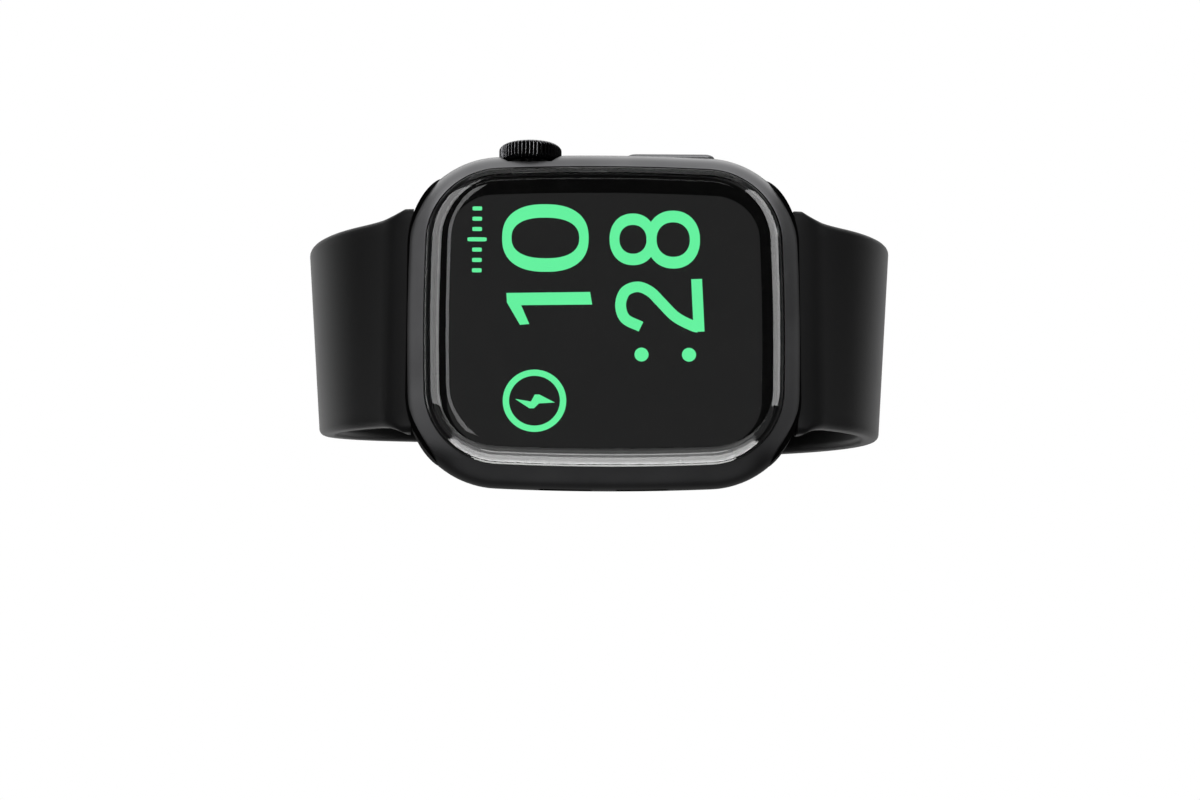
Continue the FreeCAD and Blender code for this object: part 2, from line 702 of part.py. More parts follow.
def release_button(side):
    """Oval release button on the back of the case."""
    button = pill_y(RELEASE_LENGTH, RELEASE_WIDTH, side * RELEASE_X, RELEASE_INNER, RELEASE_FACE)
    rim = [e for e in button.Edges if abs(e.BoundBox.YMin - deep(RELEASE_FACE)) < 1e-4]
    return button.makeFillet(0.25, rim)


def latch_bar(side, gap, front):
    """Bar in the rail's side that faces the release button, grown by a gap all round."""
    return pill_y(LATCH_LENGTH + 2 * gap, LATCH_WIDTH + 2 * gap, side * RELEASE_X, front, THICKNESS)


def lug_rail(side):
    """Round rail that slides in the channel of the case, its ends shaped to the case's outline."""
    rail = post(RAIL_RADIUS, side * CHANNEL_X, AXIS_DEPTH, 0, CASE_HEIGHT)
    rail = rail.common(slab(CASE_LENGTH - 0.1, CASE_HEIGHT - 0.1, CASE_CORNER - 0.05, 0, THICKNESS))
    return rail.cut(latch_bar(side, LATCH_GAP, LATCH_FLOOR))


def latch(side):
    """Latch bar, flush with the rail."""
    bar = latch_bar(side, 0.0, LATCH_FLOOR + SPRING_ROOM)
    return bar.common(post(RAIL_RADIUS, side * CHANNEL_X, AXIS_DEPTH, 0, CASE_HEIGHT))


def latch_springs(side):
    """Two coil springs under the latch bar."""
    springs = []
    for end in (-1, 1):
        helix = Part.makeHelix(SPRING_PITCH, SPRING_HEIGHT, SPRING_RADIUS)
        start = vec(SPRING_RADIUS, 0, 0)
        section = Part.Wire([Part.makeCircle(SPRING_WIRE, start, vec(0, 1, 0))])
        coil = Part.Wire(helix).makePipeShell([section], True, True)
        coil.rotate(vec(0, 0, 0), vec(1, 0, 0), -90)
        coil.translate(vec(side * RELEASE_X, deep(LATCH_FLOOR + 0.17), MID_Z + end * SPRING_SPREAD))
        springs.append(coil)
    return Part.makeCompound(springs)


def smooth(value):
    """Ease from 0 to 1."""
    value = min(max(value, 0.0), 1.0)
    return value * value * (3 - 2 * value)


def half_loop():
    """Stretches of the centre line from the case to the rear centre: (start, heading, radius, length)."""
    stud_tip = STUD_PROUD + STUD_HEAD * math.sin(math.radians(LOOP_LEAN))
    rear_y = LOOP_DEPTH / 2 - stud_tip - STRAP_THICK / 2 - LAYER
    stretches = []
    point = (ROOT_X, AXIS_Y + 0.2)
    heading = ROOT_HEADING

    def add(end, radius, length):
        """Append one arc or straight and move on to its end."""
        nonlocal point, heading
        stretches.append((point, heading, radius, length))
        a = math.radians(heading)
        b = math.radians(end)
        if radius:
            point = (point[0] + radius * (math.sin(b) - math.sin(a)),
                     point[1] + radius * (math.cos(a) - math.cos(b)))
        else:
            point = (point[0] + length * math.cos(a), point[1] + length * math.sin(a))
        heading = end

    add(SHOULDER_HEADING, SHOULDER_RADIUS, SHOULDER_RADIUS * math.radians(SHOULDER_HEADING - ROOT_HEADING))
    add(SHOULDER_HEADING, 0, SHOULDER_RUN)
    add(90.0, CHEEK_RADIUS, CHEEK_RADIUS * math.radians(90.0 - SHOULDER_HEADING))
    hip = math.radians(HIP_HEADING)
    # the hip and the rear arc together end at the rear centre, heading along -X
    rise = rear_y - point[1]
    run = point[0]
    a11 = 1 - math.sin(hip)
    a12 = math.sin(hip)
    a21 = -math.cos(hip)
    a22 = 1 + math.cos(hip)
    det = a11 * a22 - a12 * a21
    hip_radius = (run * a22 - a12 * rise) / det
    rear_radius = (a11 * rise - a21 * run) / det
    add(HIP_HEADING, hip_radius, hip_radius * math.radians(HIP_HEADING - 90.0))
    add(180.0, rear_radius, rear_radius * math.radians(180.0 - HIP_HEADING))
    return stretches


HALF_LOOP = half_loop()
HALF_LENGTH = sum(stretch[3] for stretch in HALF_LOOP)


def on_half(s):
    """Point and heading at distance s along the right half of the centre line."""
    for start, heading, radius, length in HALF_LOOP:
        if s <= length or (start, heading, radius, length) == HALF_LOOP[-1]:
            a = math.radians(heading)
            if not radius:
                return (start[0] + s * math.cos(a), start[1] + s * math.sin(a)), a
            b = a + s / radius
            return (start[0] + radius * (math.sin(b) - math.sin(a)),
                    start[1] + radius * (math.cos(a) - math.cos(b))), b
        s -= length


def on_loop(s, offset):
    """Place on the band at distance s around the loop: (middle of its width, outwards, across it).

    The middle is moved out by offset. The band climbs and leans, so across isn't quite upright.
    """
    mirrored = s > HALF_LENGTH
    from_case = 2 * HALF_LENGTH - s if mirrored else s
    (x, y), heading = on_half(from_case)
    mirror = -1 if mirrored else 1
    level = vec(mirror * math.sin(heading), -math.cos(heading), 0)
    lean = math.radians(LOOP_LEAN) * smooth(from_case / LEAN_RAMP)
    out = level * math.cos(lean) - vec(0, 0, math.sin(lean))
    across = level * math.sin(lean) + vec(0, 0, math.cos(lean))
    middle = vec(mirror * x, y, MID_Z + LOOP_RISE * (y - AXIS_Y))
    return middle + out * offset, out, across


def flare(from_case):
    """Extra width of a strap where it meets the case."""
    return LUG_FLARE * math.exp(-from_case / FLARE_LENGTH)


def strap_section(s, offset, width, thick):
    """Rectangular section of a strap."""
    middle, out, across = on_loop(s, offset)
    corners = []
    for side, end in ((1, 1), (1, -1), (-1, -1), (-1, 1), (1, 1)):
        corners.append(middle + out * (side * thick / 2) + across * (end * width / 2))
    return Part.makePolygon(corners)


def strap_root(side):
    """Block that joins a strap to its rail through the mouth of the channel."""
    half = (STRAP_WIDTH + LUG_FLARE) / 2
    inner = CHANNEL_X + 1.0
    outer = ROOT_X + 0.6
    ends = sorted((side * inner, side * outer))
    root = box(ends[0], ends[1], AXIS_DEPTH - ROOT_HALF_THICK, AXIS_DEPTH + ROOT_HALF_THICK,
               MID_Z - half, MID_Z + half)
    return root.cut(post(RAIL_RADIUS, side * CHANNEL_X, AXIS_DEPTH, -1, CASE_HEIGHT + 1))


def clear_of_case(strap, side):
    """Keep a strap outside the end of the case, apart from what fills the channel's mouth."""
    mouth = ROOT_HALF_THICK + 0.05
    wall = box(-END_CLEAR_X, END_CLEAR_X, -1, AXIS_DEPTH - mouth, -5, 45)
    back = box(-END_CLEAR_X, END_CLEAR_X, AXIS_DEPTH + mouth, 14, -5, 45)
    inner_end = sorted((0.0, side * (CHANNEL_X + 1.0)))
    inside = box(inner_end[0], inner_end[1], -1, 14, -5, 45)
    rail = post(RAIL_RADIUS, side * CHANNEL_X, AXIS_DEPTH, -1, CASE_HEIGHT + 1)
    return strap.cut(wall).cut(back).cut(inside).cut(rail)


def strap_6():
    """Band half at 6 o'clock, with the stud's hole and the slot that the other half tucks into."""
    last = HALF_LENGTH + STUD_END
    steps = 34
    sections = []
    for step in range(steps + 1):
        s = last * step / steps
        width = STRAP_WIDTH + (STRAP_SLOT_WIDTH - STRAP_WIDTH) * smooth(s / HALF_LENGTH) + flare(s)
        sections.append(strap_section(s, 0.0, width, STRAP_THICK))
    strap = Part.makeLoft(sections, True, False)
    strap = clear_of_case(strap.fuse(strap_root(1)), 1)
    centre, out, across = on_loop(HALF_LENGTH - SLOT_BEHIND, -4.0)
    along = out.cross(across)
    corners = []
    for side, end in ((1, 1), (1, -1), (-1, -1), (-1, 1), (1, 1)):
        corners.append(centre + along * (side * SLOT_LENGTH / 2) + across * (end * SLOT_WIDTH / 2))
    slot = Part.Face(Part.makePolygon(corners)).extrude(out * 8.0)
    strap = strap.cut(slot)
    return strap.cut(stud_bar(STUD_SHANK, -3, 3))


def bar_through(s, radius, low, high):
    """Round bar square to the loop at distance s, between two heights over the centre line."""
    base, out, _ = on_loop(s, low)
    return Part.makeCylinder(radius, high - low, base, out)


def stud_bar(radius, low, high):
    """Round bar along the stud's axis."""
    return bar_through(HALF_LENGTH + STUD_AHEAD, radius, low, high)


def strap_12_offset(s):
    """How far the tucking half lies outside the loop's centre line."""
    climb = smooth((HALF_LENGTH + STUD_END + CLIMB_END - s) / LAYER_RAMP)
    dive = smooth((HALF_LENGTH - SLOT_BEHIND + DIVE_START - s) / LAYER_RAMP)
    return LAYER * climb - 2 * LAYER * dive


def strap_12():
    """Band half at 12 o'clock: over the stud by one of its holes, through the slot and on inside."""
    first = 2 * HALF_LENGTH
    last = HALF_LENGTH - TAIL_BEHIND
    steps = 64
    sections = []
    for step in range(steps + 1):
        s = first + (last - first) * step / steps
        from_case = first - s
        narrow = smooth(from_case / (HALF_LENGTH - 2))
        width = STRAP_WIDTH + (TAIL_WIDTH - STRAP_WIDTH) * narrow + flare(from_case)
        sections.append(strap_section(s, strap_12_offset(s), width, STRAP_THICK))
    strap = Part.makeLoft(sections, True, False)
    strap = clear_of_case(strap.fuse(strap_root(-1)), -1)
    for step in range(-HOLES_EACH_WAY, HOLES_EACH_WAY + 1):
        s = HALF_LENGTH + STUD_AHEAD + step * HOLE_PITCH
        middle = strap_12_offset(s)
        strap = strap.cut(bar_through(s, HOLE_RADIUS, middle - 3, middle + 3))
    return strap


def band_stud():
    """Metal stud: rivet head on the wrist side, shank, and the button head outside."""
    skin = STRAP_THICK / 2
    foot = stud_bar(STUD_FOOT, -skin - 0.5, -skin - 0.12)
    shank = stud_bar(STUD_SHANK, -skin - 0.12, skin)
    neck = stud_bar(STUD_NECK, skin, skin + LAYER + 0.1)
    head = stud_bar(STUD_HEAD, skin + LAYER + 0.1, skin + LAYER + STUD_PROUD)
    head = head.makeFillet(0.3, [e for e in head.Edges if e.Length > 10])
    return foot.fuse(shank).fuse(neck).fuse(head).removeSplitter()


def build():
    """Write every node."""
    os.makedirs("parts", exist_ok=True)
    single = [
        case_shell, front_crystal, display_mask, display_panel, display_flex, front_seal,
        battery, main_board, processor_module, chassis_screws, haptic_housing, haptic_mass,
        speaker_module, speaker_grilles, microphone,
        crown_knob, crown_ring, crown_cap, crown_shaft, crown_clip, crown_bushing, crown_oring,
        crown_shear_plate, crown_switch, crown_encoder,
        side_button_cap, side_button_posts, side_button_bridge, side_button_seals, side_button_switch,
        back_cover, back_seal, electrode_ring, sensor_window, light_baffle, sensor_board,
        sensor_leds, photodiodes, charging_coil, coil_ferrite, alignment_magnet,
        strap_12, strap_6, band_stud,
    ]
    for make in single:
        export(make.__name__, make())
    export("haptic_spring_lower", haptic_spring(HAPTIC_Z[0] + HAPTIC_WALL, MASS_Z[0]))
    export("haptic_spring_upper", haptic_spring(MASS_Z[1], HAPTIC_Z[1] - HAPTIC_WALL))
    for hour, side in (("12", -1), ("6", 1)):
        export("release_button_" + hour, release_button(side))
        export("lug_rail_" + hour, lug_rail(side))
        export("latch_" + hour, latch(side))
        export("latch_springs_" + hour, latch_springs(side))


build()
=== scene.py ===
"""Looks of a smartwatch that stands on its side with its sport band closed.

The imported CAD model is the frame. Its axes are the row's: +X points to 6 o'clock of the dial, -Y is where
the display faces and +Z is the crown side. Sizes are written in millimetres and turned to metres by MM.
"""
import logging
import math
from dataclasses import dataclass, field
from enum import Enum
from typing import Callable, Iterable, Sequence

import bmesh
import bpy
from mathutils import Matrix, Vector, geometry


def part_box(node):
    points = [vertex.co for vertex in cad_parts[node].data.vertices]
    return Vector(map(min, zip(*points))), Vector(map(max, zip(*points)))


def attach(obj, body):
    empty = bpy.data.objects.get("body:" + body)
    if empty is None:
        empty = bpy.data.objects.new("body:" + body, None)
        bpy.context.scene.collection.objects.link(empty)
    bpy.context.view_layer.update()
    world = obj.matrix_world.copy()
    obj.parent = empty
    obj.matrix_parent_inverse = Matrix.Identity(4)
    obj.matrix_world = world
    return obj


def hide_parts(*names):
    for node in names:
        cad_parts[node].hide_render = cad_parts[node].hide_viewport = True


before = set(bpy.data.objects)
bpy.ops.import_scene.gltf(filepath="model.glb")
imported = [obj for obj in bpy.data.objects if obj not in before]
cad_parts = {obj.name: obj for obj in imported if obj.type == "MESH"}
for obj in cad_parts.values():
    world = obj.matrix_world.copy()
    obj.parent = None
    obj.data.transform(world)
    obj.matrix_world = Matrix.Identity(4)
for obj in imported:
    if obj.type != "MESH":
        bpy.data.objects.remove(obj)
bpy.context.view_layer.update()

LOG = logging.getLogger("smartwatch")
MM = 0.001
WAVE_UNIT = 20.0            # the wave texture turns this many radians over each unit of its scale
MERGE_GAP = 1e-7            # points nearer than this, in metres, are one
Point2 = tuple[float, float]
Node = bpy.types.Node
Tree = bpy.types.NodeTree


def span(node: str) -> tuple[Vector, Vector]:
    """Lowest and highest corner of a CAD node, in millimetres."""
    low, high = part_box(node)
    return low / MM, high / MM


GLASS_LOW, GLASS_HIGH = span("front_crystal")
SHAFT_LOW, SHAFT_HIGH = span("crown_shaft")
FRONT_Y = GLASS_LOW.y
MID_Z = (GLASS_LOW.z + GLASS_HIGH.z) / 2
AXIS_Y = (SHAFT_LOW.y + SHAFT_HIGH.y) / 2


# ---------------------------------------------------------------- materials

class Surface(Enum):
    """How a surface was made, which decides the pattern that its material draws."""

    BLASTED = "bead blasting"
    BRUSHED = "brushing"
    MOULDED = "moulding"
    POLISHED = "polishing"
    WOUND = "winding"
    WOVEN = "weaving"
    CAST = "casting"


def linear(code: str) -> tuple[float, float, float, float]:
    """Turn an sRGB hex colour into linear RGBA.

    Args:
        code: Six hex digits.

    Returns:
        Linear red, green, blue and an alpha of 1.
    """
    def channel(value: float) -> float:
        """One channel from sRGB to linear."""
        return value / 12.92 if value <= 0.04045 else ((value + 0.055) / 1.055) ** 2.4
    red, green, blue = (channel(int(code[i:i + 2], 16) / 255) for i in (0, 2, 4))
    return red, green, blue, 1.0


def add_node(tree: Tree, kind: str, settings: dict | None = None, links: dict | None = None) -> Node:
    """Add one shader node.

    Args:
        tree: The node tree.
        kind: The node's type name.
        settings: Attributes by name, and input values by socket name or number.
        links: Output sockets that feed this node, by input name or number.

    Returns:
        The new node.
    """
    new = tree.nodes.new(kind)
    for key, value in (settings or {}).items():
        if isinstance(key, str) and hasattr(new, key):
            setattr(new, key, value)
        else:
            new.inputs[key].default_value = value
    for key, output in (links or {}).items():
        tree.links.new(output, new.inputs[key])
    return new


@dataclass(frozen=True)
class Finish:
    """One real finish: what it is made of, how its surface was made, and what that gives the eye."""

    name: str
    colour: str
    second: str
    surface: Surface
    metallic: float = 0.0
    roughness: tuple[float, float] = (0.4, 0.5)
    ior: float = 1.5
    grain_mm: float = 0.3
    relief_mm: float = 0.004
    cloud_mm: float = 6.0
    coat: float = 0.0
    coat_roughness: float = 0.05
    sheen: float = 0.0
    transmission: float = 0.0
    glow: str = ""
    glow_strength: float = 0.0
    stretch: tuple[float, float, float] = (1.0, 1.0, 1.0)
    centre_mm: tuple[float, float, float] = (0.0, 0.0, 0.0)

    def material(self) -> bpy.types.Material:
        """Build the material once, and return the same one after that.

        Returns:
            The material.
        """
        known = bpy.data.materials.get(self.name)
        if known:
            return known
        made = bpy.data.materials.new(self.name)
        made.use_nodes = True
        tree = made.node_tree
        tree.nodes.clear()
        place = add_node(tree, "ShaderNodeTexCoord").outputs["Object"]
        grain = self._grain(tree, place)
        cloud = self._noise(tree, place, self.cloud_mm, 3.0)
        tint = add_node(tree, "ShaderNodeMix", {"data_type": "RGBA", 6: linear(self.colour),
                                                7: linear(self.second)},
                        {0: self._tint(tree, grain, cloud)})
        rough = add_node(tree, "ShaderNodeMapRange", {3: self.roughness[0], 4: self.roughness[1]},
                         {0: self._mean(tree, cloud, grain)})
        links = {"Base Color": tint.outputs[2], "Roughness": rough.outputs[0]}
        if self.relief_mm:
            bump = add_node(tree, "ShaderNodeBump", {"Distance": self.relief_mm * MM, "Strength": 1.0},
                            {"Height": grain})
            links["Normal"] = bump.outputs[0]
        shader = add_node(tree, "ShaderNodeBsdfPrincipled", self._constants(), links)
        add_node(tree, "ShaderNodeOutputMaterial", {}, {"Surface": shader.outputs[0]})
        return made

    def _constants(self) -> dict[str, object]:
        """Values that are the same all over the surface.

        Returns:
            Values by socket name.
        """
        values: dict[str, object] = {
            "Metallic": self.metallic, "Coat Weight": self.coat,
            "Coat Roughness": self.coat_roughness, "Sheen Weight": self.sheen,
            "Transmission Weight": self.transmission,
        }
        if not self.metallic:
            values["IOR"] = self.ior
        if self.glow:
            values["Emission Color"] = linear(self.glow)
            values["Emission Strength"] = self.glow_strength
        return values

    def _noise(self, tree: Tree, place: bpy.types.NodeSocket, size_mm: float,
               detail: float) -> bpy.types.NodeSocket:
        """Noise whose features are about size_mm across.

        Args:
            tree: The material's node tree.
            place: Object coordinates, in metres.
            size_mm: Size of a feature.
            detail: How many finer layers it holds.

        Returns:
            The noise's value, 0 to 1.
        """
        scale = 1.0 / (size_mm * MM)
        spread = add_node(tree, "ShaderNodeMapping", {"Scale": tuple(scale * s for s in self.stretch)},
                          {"Vector": place})
        return add_node(tree, "ShaderNodeTexNoise", {"Scale": 1.0, "Detail": detail},
                        {"Vector": spread.outputs[0]}).outputs[0]

    def _grain(self, tree: Tree, place: bpy.types.NodeSocket) -> bpy.types.NodeSocket:
        """The fine pattern that making the surface left on it.

        Args:
            tree: The material's node tree.
            place: Object coordinates, in metres.

        Returns:
            The pattern's value, 0 to 1.
        """
        scale = 1.0 / (self.grain_mm * MM)
        if self.surface is Surface.WOUND:
            centred = add_node(tree, "ShaderNodeMapping",
                               {"Location": tuple(-c * MM for c in self.centre_mm)}, {"Vector": place})
            return add_node(tree, "ShaderNodeTexWave",
                            {"wave_type": "RINGS", "rings_direction": "Y", "Scale": scale / WAVE_UNIT,
                             "Distortion": 0.4}, {"Vector": centred.outputs[0]}).outputs[1]
        if self.surface is Surface.WOVEN:
            across = add_node(tree, "ShaderNodeTexWave", {"bands_direction": "X", "Scale": scale / WAVE_UNIT},
                              {"Vector": place})
            along = add_node(tree, "ShaderNodeTexWave", {"bands_direction": "Y", "Scale": scale / WAVE_UNIT},
                             {"Vector": place})
            return add_node(tree, "ShaderNodeMath", {"operation": "MULTIPLY"},
                            {0: across.outputs[1], 1: along.outputs[1]}).outputs[0]
        return self._noise(tree, place, self.grain_mm, 2.0)

    def _tint(self, tree: Tree, grain: bpy.types.NodeSocket,
              cloud: bpy.types.NodeSocket) -> bpy.types.NodeSocket:
        """Where the second colour shows: in wound and woven work it is painted shade in the pattern's gaps,
        else soft clouds.

        Args:
            tree: The material's node tree.
            grain: The making pattern.
            cloud: The soft clouds.

        Returns:
            How much of the second colour shows, 0 to 1.
        """
        # Wound and woven work: the second colour is painted shade between the turns and in the mesh's holes.
        if self.surface in (Surface.WOUND, Surface.WOVEN):
            return grain
        return add_node(tree, "ShaderNodeMapRange", {1: 0.35, 2: 0.65}, {0: cloud}).outputs[0]

    def _mean(self, tree: Tree, first: bpy.types.NodeSocket,
              second: bpy.types.NodeSocket) -> bpy.types.NodeSocket:
        """Mean of two patterns.

        Args:
            tree: The material's node tree.
            first: One pattern.
            second: The other.

        Returns:
            Their mean.
        """
        total = add_node(tree, "ShaderNodeMath", {"operation": "ADD"}, {0: first, 1: second})
        return add_node(tree, "ShaderNodeMath", {"operation": "MULTIPLY", 1: 0.5},
                        {0: total.outputs[0]}).outputs[0]


# Bead-blasted anodised aluminium: a fine matt sparkle with a soft, broad highlight along the sides.
CASE_METAL = Finish("anodised_aluminium_blasted", "4B4B4C", "424243", Surface.BLASTED, metallic=1.0,
                    roughness=(0.30, 0.42), grain_mm=0.12, relief_mm=0.002, cloud_mm=9.0)
# The same alloy knurled and anodised darker: bright tooth tips over dark grooves.
CROWN_METAL = Finish("anodised_aluminium_knurled", "2C2C2D", "1F1F20", Surface.BRUSHED, metallic=1.0,
                     roughness=(0.15, 0.25), grain_mm=0.1, relief_mm=0.003, stretch=(1.0, 1.0, 0.2))
# Moulded fluoroelastomer: dense matt black with a soft sheen and a trace of handling.
BAND_RUBBER = Finish("fluoroelastomer_moulded", "1B1B1C", "222223", Surface.MOULDED,
                     roughness=(0.46, 0.60), ior=1.42, grain_mm=0.16, relief_mm=0.003, cloud_mm=14.0,
                     sheen=0.06)
# Strengthened glass, polished: clear, with sharp reflections on its curved edge.
COVER_GLASS = Finish("aluminosilicate_glass_polished", "FFFFFF", "FAFCFC", Surface.POLISHED,
                     roughness=(0.0, 0.0), ior=1.51, grain_mm=4.0, relief_mm=0.0, transmission=1.0)
# Screen-printed ink under the glass: a deep even black.
BORDER_INK = Finish("screen_printed_ink", "030303", "050505", Surface.CAST, roughness=(0.35, 0.45),
                    ior=1.1, grain_mm=0.2, relief_mm=0.0)
# OLED panel: black resin that glows a faint neutral grey when it is on.
LIT_PANEL = Finish("oled_panel_laminated", "050505", "060606", Surface.CAST, roughness=(0.3, 0.4),
                   ior=1.1, grain_mm=0.1, relief_mm=0.0, glow="212121", glow_strength=1.0)
# Lit pixels: an even mint green.
LIT_GREEN = Finish("oled_pixels_green", "020302", "030403", Surface.CAST, roughness=(0.4, 0.5),
                   ior=1.1, grain_mm=0.1, relief_mm=0.0, glow="6AFBA6", glow_strength=1.0)
# Polished black zirconia: a wet, deep gloss.
BACK_CERAMIC = Finish("zirconia_polished", "0B0B0C", "0E0E10", Surface.POLISHED, roughness=(0.05, 0.12),
                      ior=2.1, grain_mm=1.5, relief_mm=0.0005)
# The crown's touch cap in the same ceramic, a little softer in its gloss.
CAP_CERAMIC = Finish("ceramic_cap_polished", "0D0D0E", "131315", Surface.POLISHED,
                     roughness=(0.08, 0.16), ior=2.0, grain_mm=0.8, relief_mm=0.0005)
# Smoked sapphire: the lights and receivers show faintly through it.
WINDOW_SAPPHIRE = Finish("sapphire_smoked_polished", "8A8C90", "85878C", Surface.POLISHED,
                         roughness=(0.0, 0.03), ior=1.77, grain_mm=3.0, relief_mm=0.0, transmission=1.0)
# Vapour-coated steel: a dark mirror ring.
ELECTRODE = Finish("steel_vapour_coated", "3A3A3D", "434347", Surface.POLISHED, metallic=1.0,
                   roughness=(0.12, 0.22), grain_mm=0.6, relief_mm=0.0008)
# The band's stud: the same coating over brushed steel, with a short streak of light.
STUD_METAL = Finish("steel_stud_coated", "2E2E31", "38383B", Surface.BRUSHED, metallic=1.0,
                    roughness=(0.22, 0.34), grain_mm=0.15, relief_mm=0.002, stretch=(1.0, 0.2, 1.0))
# Brushed stainless steel: pale, with fine lines one way.
STEEL = Finish("stainless_steel_brushed", "B9B9B6", "A5A5A3", Surface.BRUSHED, metallic=1.0,
               roughness=(0.25, 0.42), grain_mm=0.12, relief_mm=0.003, stretch=(0.15, 1.0, 1.0))
# Tempered spring steel: warmer and duller than the brushed plates.
SPRING_STEEL = Finish("spring_steel_tempered", "9C9A94", "827F76", Surface.BRUSHED, metallic=1.0,
                      roughness=(0.3, 0.45), grain_mm=0.08, relief_mm=0.002, stretch=(1.0, 1.0, 0.2))
# Sintered tungsten: a heavy dark grey with an even grain.
TUNGSTEN = Finish("tungsten_sintered", "6A6A6C", "57575A", Surface.BLASTED, metallic=1.0,
                  roughness=(0.45, 0.6), grain_mm=0.1, relief_mm=0.006)
# Nickel plate on the magnet: bright and slightly yellow.
NICKEL = Finish("magnet_nickel_plated", "C2BFB6", "B0ADA4", Surface.POLISHED, metallic=1.0,
                roughness=(0.12, 0.22), grain_mm=0.4, relief_mm=0.001)
# Turned screw steel: bright heads with faint tool marks.
SCREW_STEEL = Finish("screw_steel_turned", "A9A9A8", "8D8D8C", Surface.BRUSHED, metallic=1.0,
                     roughness=(0.28, 0.4), grain_mm=0.08, relief_mm=0.003)
# Blackened mesh: dark wires in a weave, with painted shade making the holes between them darker.
GRILLE_MESH = Finish("steel_mesh_blackened", "2A2A2B", "0A0A0A", Surface.WOVEN, metallic=1.0,
                     roughness=(0.35, 0.5), grain_mm=0.12, relief_mm=0.01)
# Glass-filled nylon: dead matt, with the fibres just showing.
NYLON = Finish("glass_filled_nylon_moulded", "191919", "212122", Surface.MOULDED, roughness=(0.5, 0.65),
               grain_mm=0.15, relief_mm=0.006)
# Silicone rubber: the softest black, with hardly a highlight.
SEAL_RUBBER = Finish("silicone_rubber_moulded", "151515", "1D1D1D", Surface.MOULDED,
                     roughness=(0.55, 0.7), ior=1.43, grain_mm=0.1, relief_mm=0.003)
# Solder mask over the board: green-black lacquer with a clear shine.
SOLDER_MASK = Finish("solder_mask_on_laminate", "10261C", "163325", Surface.CAST, roughness=(0.3, 0.42),
                     grain_mm=0.5, relief_mm=0.006, cloud_mm=2.5)
# Moulded epoxy package: dark grey and finely grained.
EPOXY = Finish("epoxy_moulded_package", "1A1A1C", "232326", Surface.MOULDED, roughness=(0.42, 0.55),
               grain_mm=0.08, relief_mm=0.003)
# Aluminium laminate round the battery: faintly rippled and satin.
POUCH = Finish("aluminium_laminate_pouch", "303235", "3A3C40", Surface.BLASTED, roughness=(0.3, 0.4),
               grain_mm=0.5, relief_mm=0.012)
# Polyimide flex: translucent amber film with a gloss.
FLEX = Finish("polyimide_flex", "8A4A12", "A35A18", Surface.CAST, roughness=(0.25, 0.38), grain_mm=0.3,
              relief_mm=0.003, coat=0.4)
# The light baffle: black that swallows stray light.
BAFFLE = Finish("baffle_moulded_black", "070707", "0C0C0C", Surface.MOULDED, roughness=(0.5, 0.6),
                grain_mm=0.1, relief_mm=0.003)
# Cast resin over the sensor's lights: pale green and wet.
LED_RESIN = Finish("led_resin_cast", "C9D8B0", "B4CC98", Surface.CAST, roughness=(0.12, 0.2),
                   grain_mm=0.3, relief_mm=0.002, coat=0.6)
# Coated silicon: a blue-violet mirror.
SILICON = Finish("photodiode_silicon_coated", "1D2336", "262E48", Surface.POLISHED,
                 roughness=(0.1, 0.18), ior=1.9, grain_mm=0.4, relief_mm=0.0005, coat=0.5)
# Enamelled copper wire: bright turns, with painted shade as dark lines between them.
COPPER = Finish("enamelled_copper_wound", "B4622E", "5A2A12", Surface.WOUND, metallic=1.0,
                roughness=(0.25, 0.38), grain_mm=0.25, relief_mm=0.03, centre_mm=(0.0, 0.0, 19.0))
# Sintered ferrite: charcoal grey and chalky.
FERRITE = Finish("ferrite_sintered", "2B2B2D", "343437", Surface.BLASTED, roughness=(0.5, 0.65),
                 grain_mm=0.12, relief_mm=0.006)

CAD_FINISH: dict[str, Finish] = {
    "case_shell": CASE_METAL, "side_button_cap": CASE_METAL, "release_button_12": CASE_METAL,
    "release_button_6": CASE_METAL, "display_panel": LIT_PANEL, "display_flex": FLEX,
    "front_seal": SEAL_RUBBER, "battery": POUCH, "main_board": SOLDER_MASK, "processor_module": EPOXY,
    "chassis_screws": SCREW_STEEL, "haptic_housing": STEEL, "haptic_mass": TUNGSTEN,
    "haptic_spring_lower": SPRING_STEEL, "haptic_spring_upper": SPRING_STEEL, "speaker_module": NYLON,
    "speaker_grilles": GRILLE_MESH, "microphone": STEEL, "crown_ring": SEAL_RUBBER,
    "crown_cap": CAP_CERAMIC, "crown_shaft": STEEL, "crown_clip": SPRING_STEEL, "crown_bushing": STEEL,
    "crown_oring": SEAL_RUBBER, "crown_shear_plate": STEEL, "crown_switch": SPRING_STEEL,
    "crown_encoder": EPOXY, "side_button_posts": STEEL, "side_button_bridge": SPRING_STEEL,
    "side_button_seals": SEAL_RUBBER, "side_button_switch": SPRING_STEEL, "back_cover": BACK_CERAMIC,
    "back_seal": SEAL_RUBBER, "electrode_ring": ELECTRODE, "sensor_window": WINDOW_SAPPHIRE,
    "light_baffle": BAFFLE, "sensor_board": SOLDER_MASK, "sensor_leds": LED_RESIN,
    "photodiodes": SILICON, "charging_coil": COPPER, "coil_ferrite": FERRITE,
    "alignment_magnet": NICKEL, "lug_rail_12": NYLON, "lug_rail_6": NYLON, "latch_12": STEEL,
    "latch_6": STEEL, "latch_springs_12": SPRING_STEEL, "latch_springs_6": SPRING_STEEL,
    "band_stud": STUD_METAL,
}


# ---------------------------------------------------------------- mesh helpers

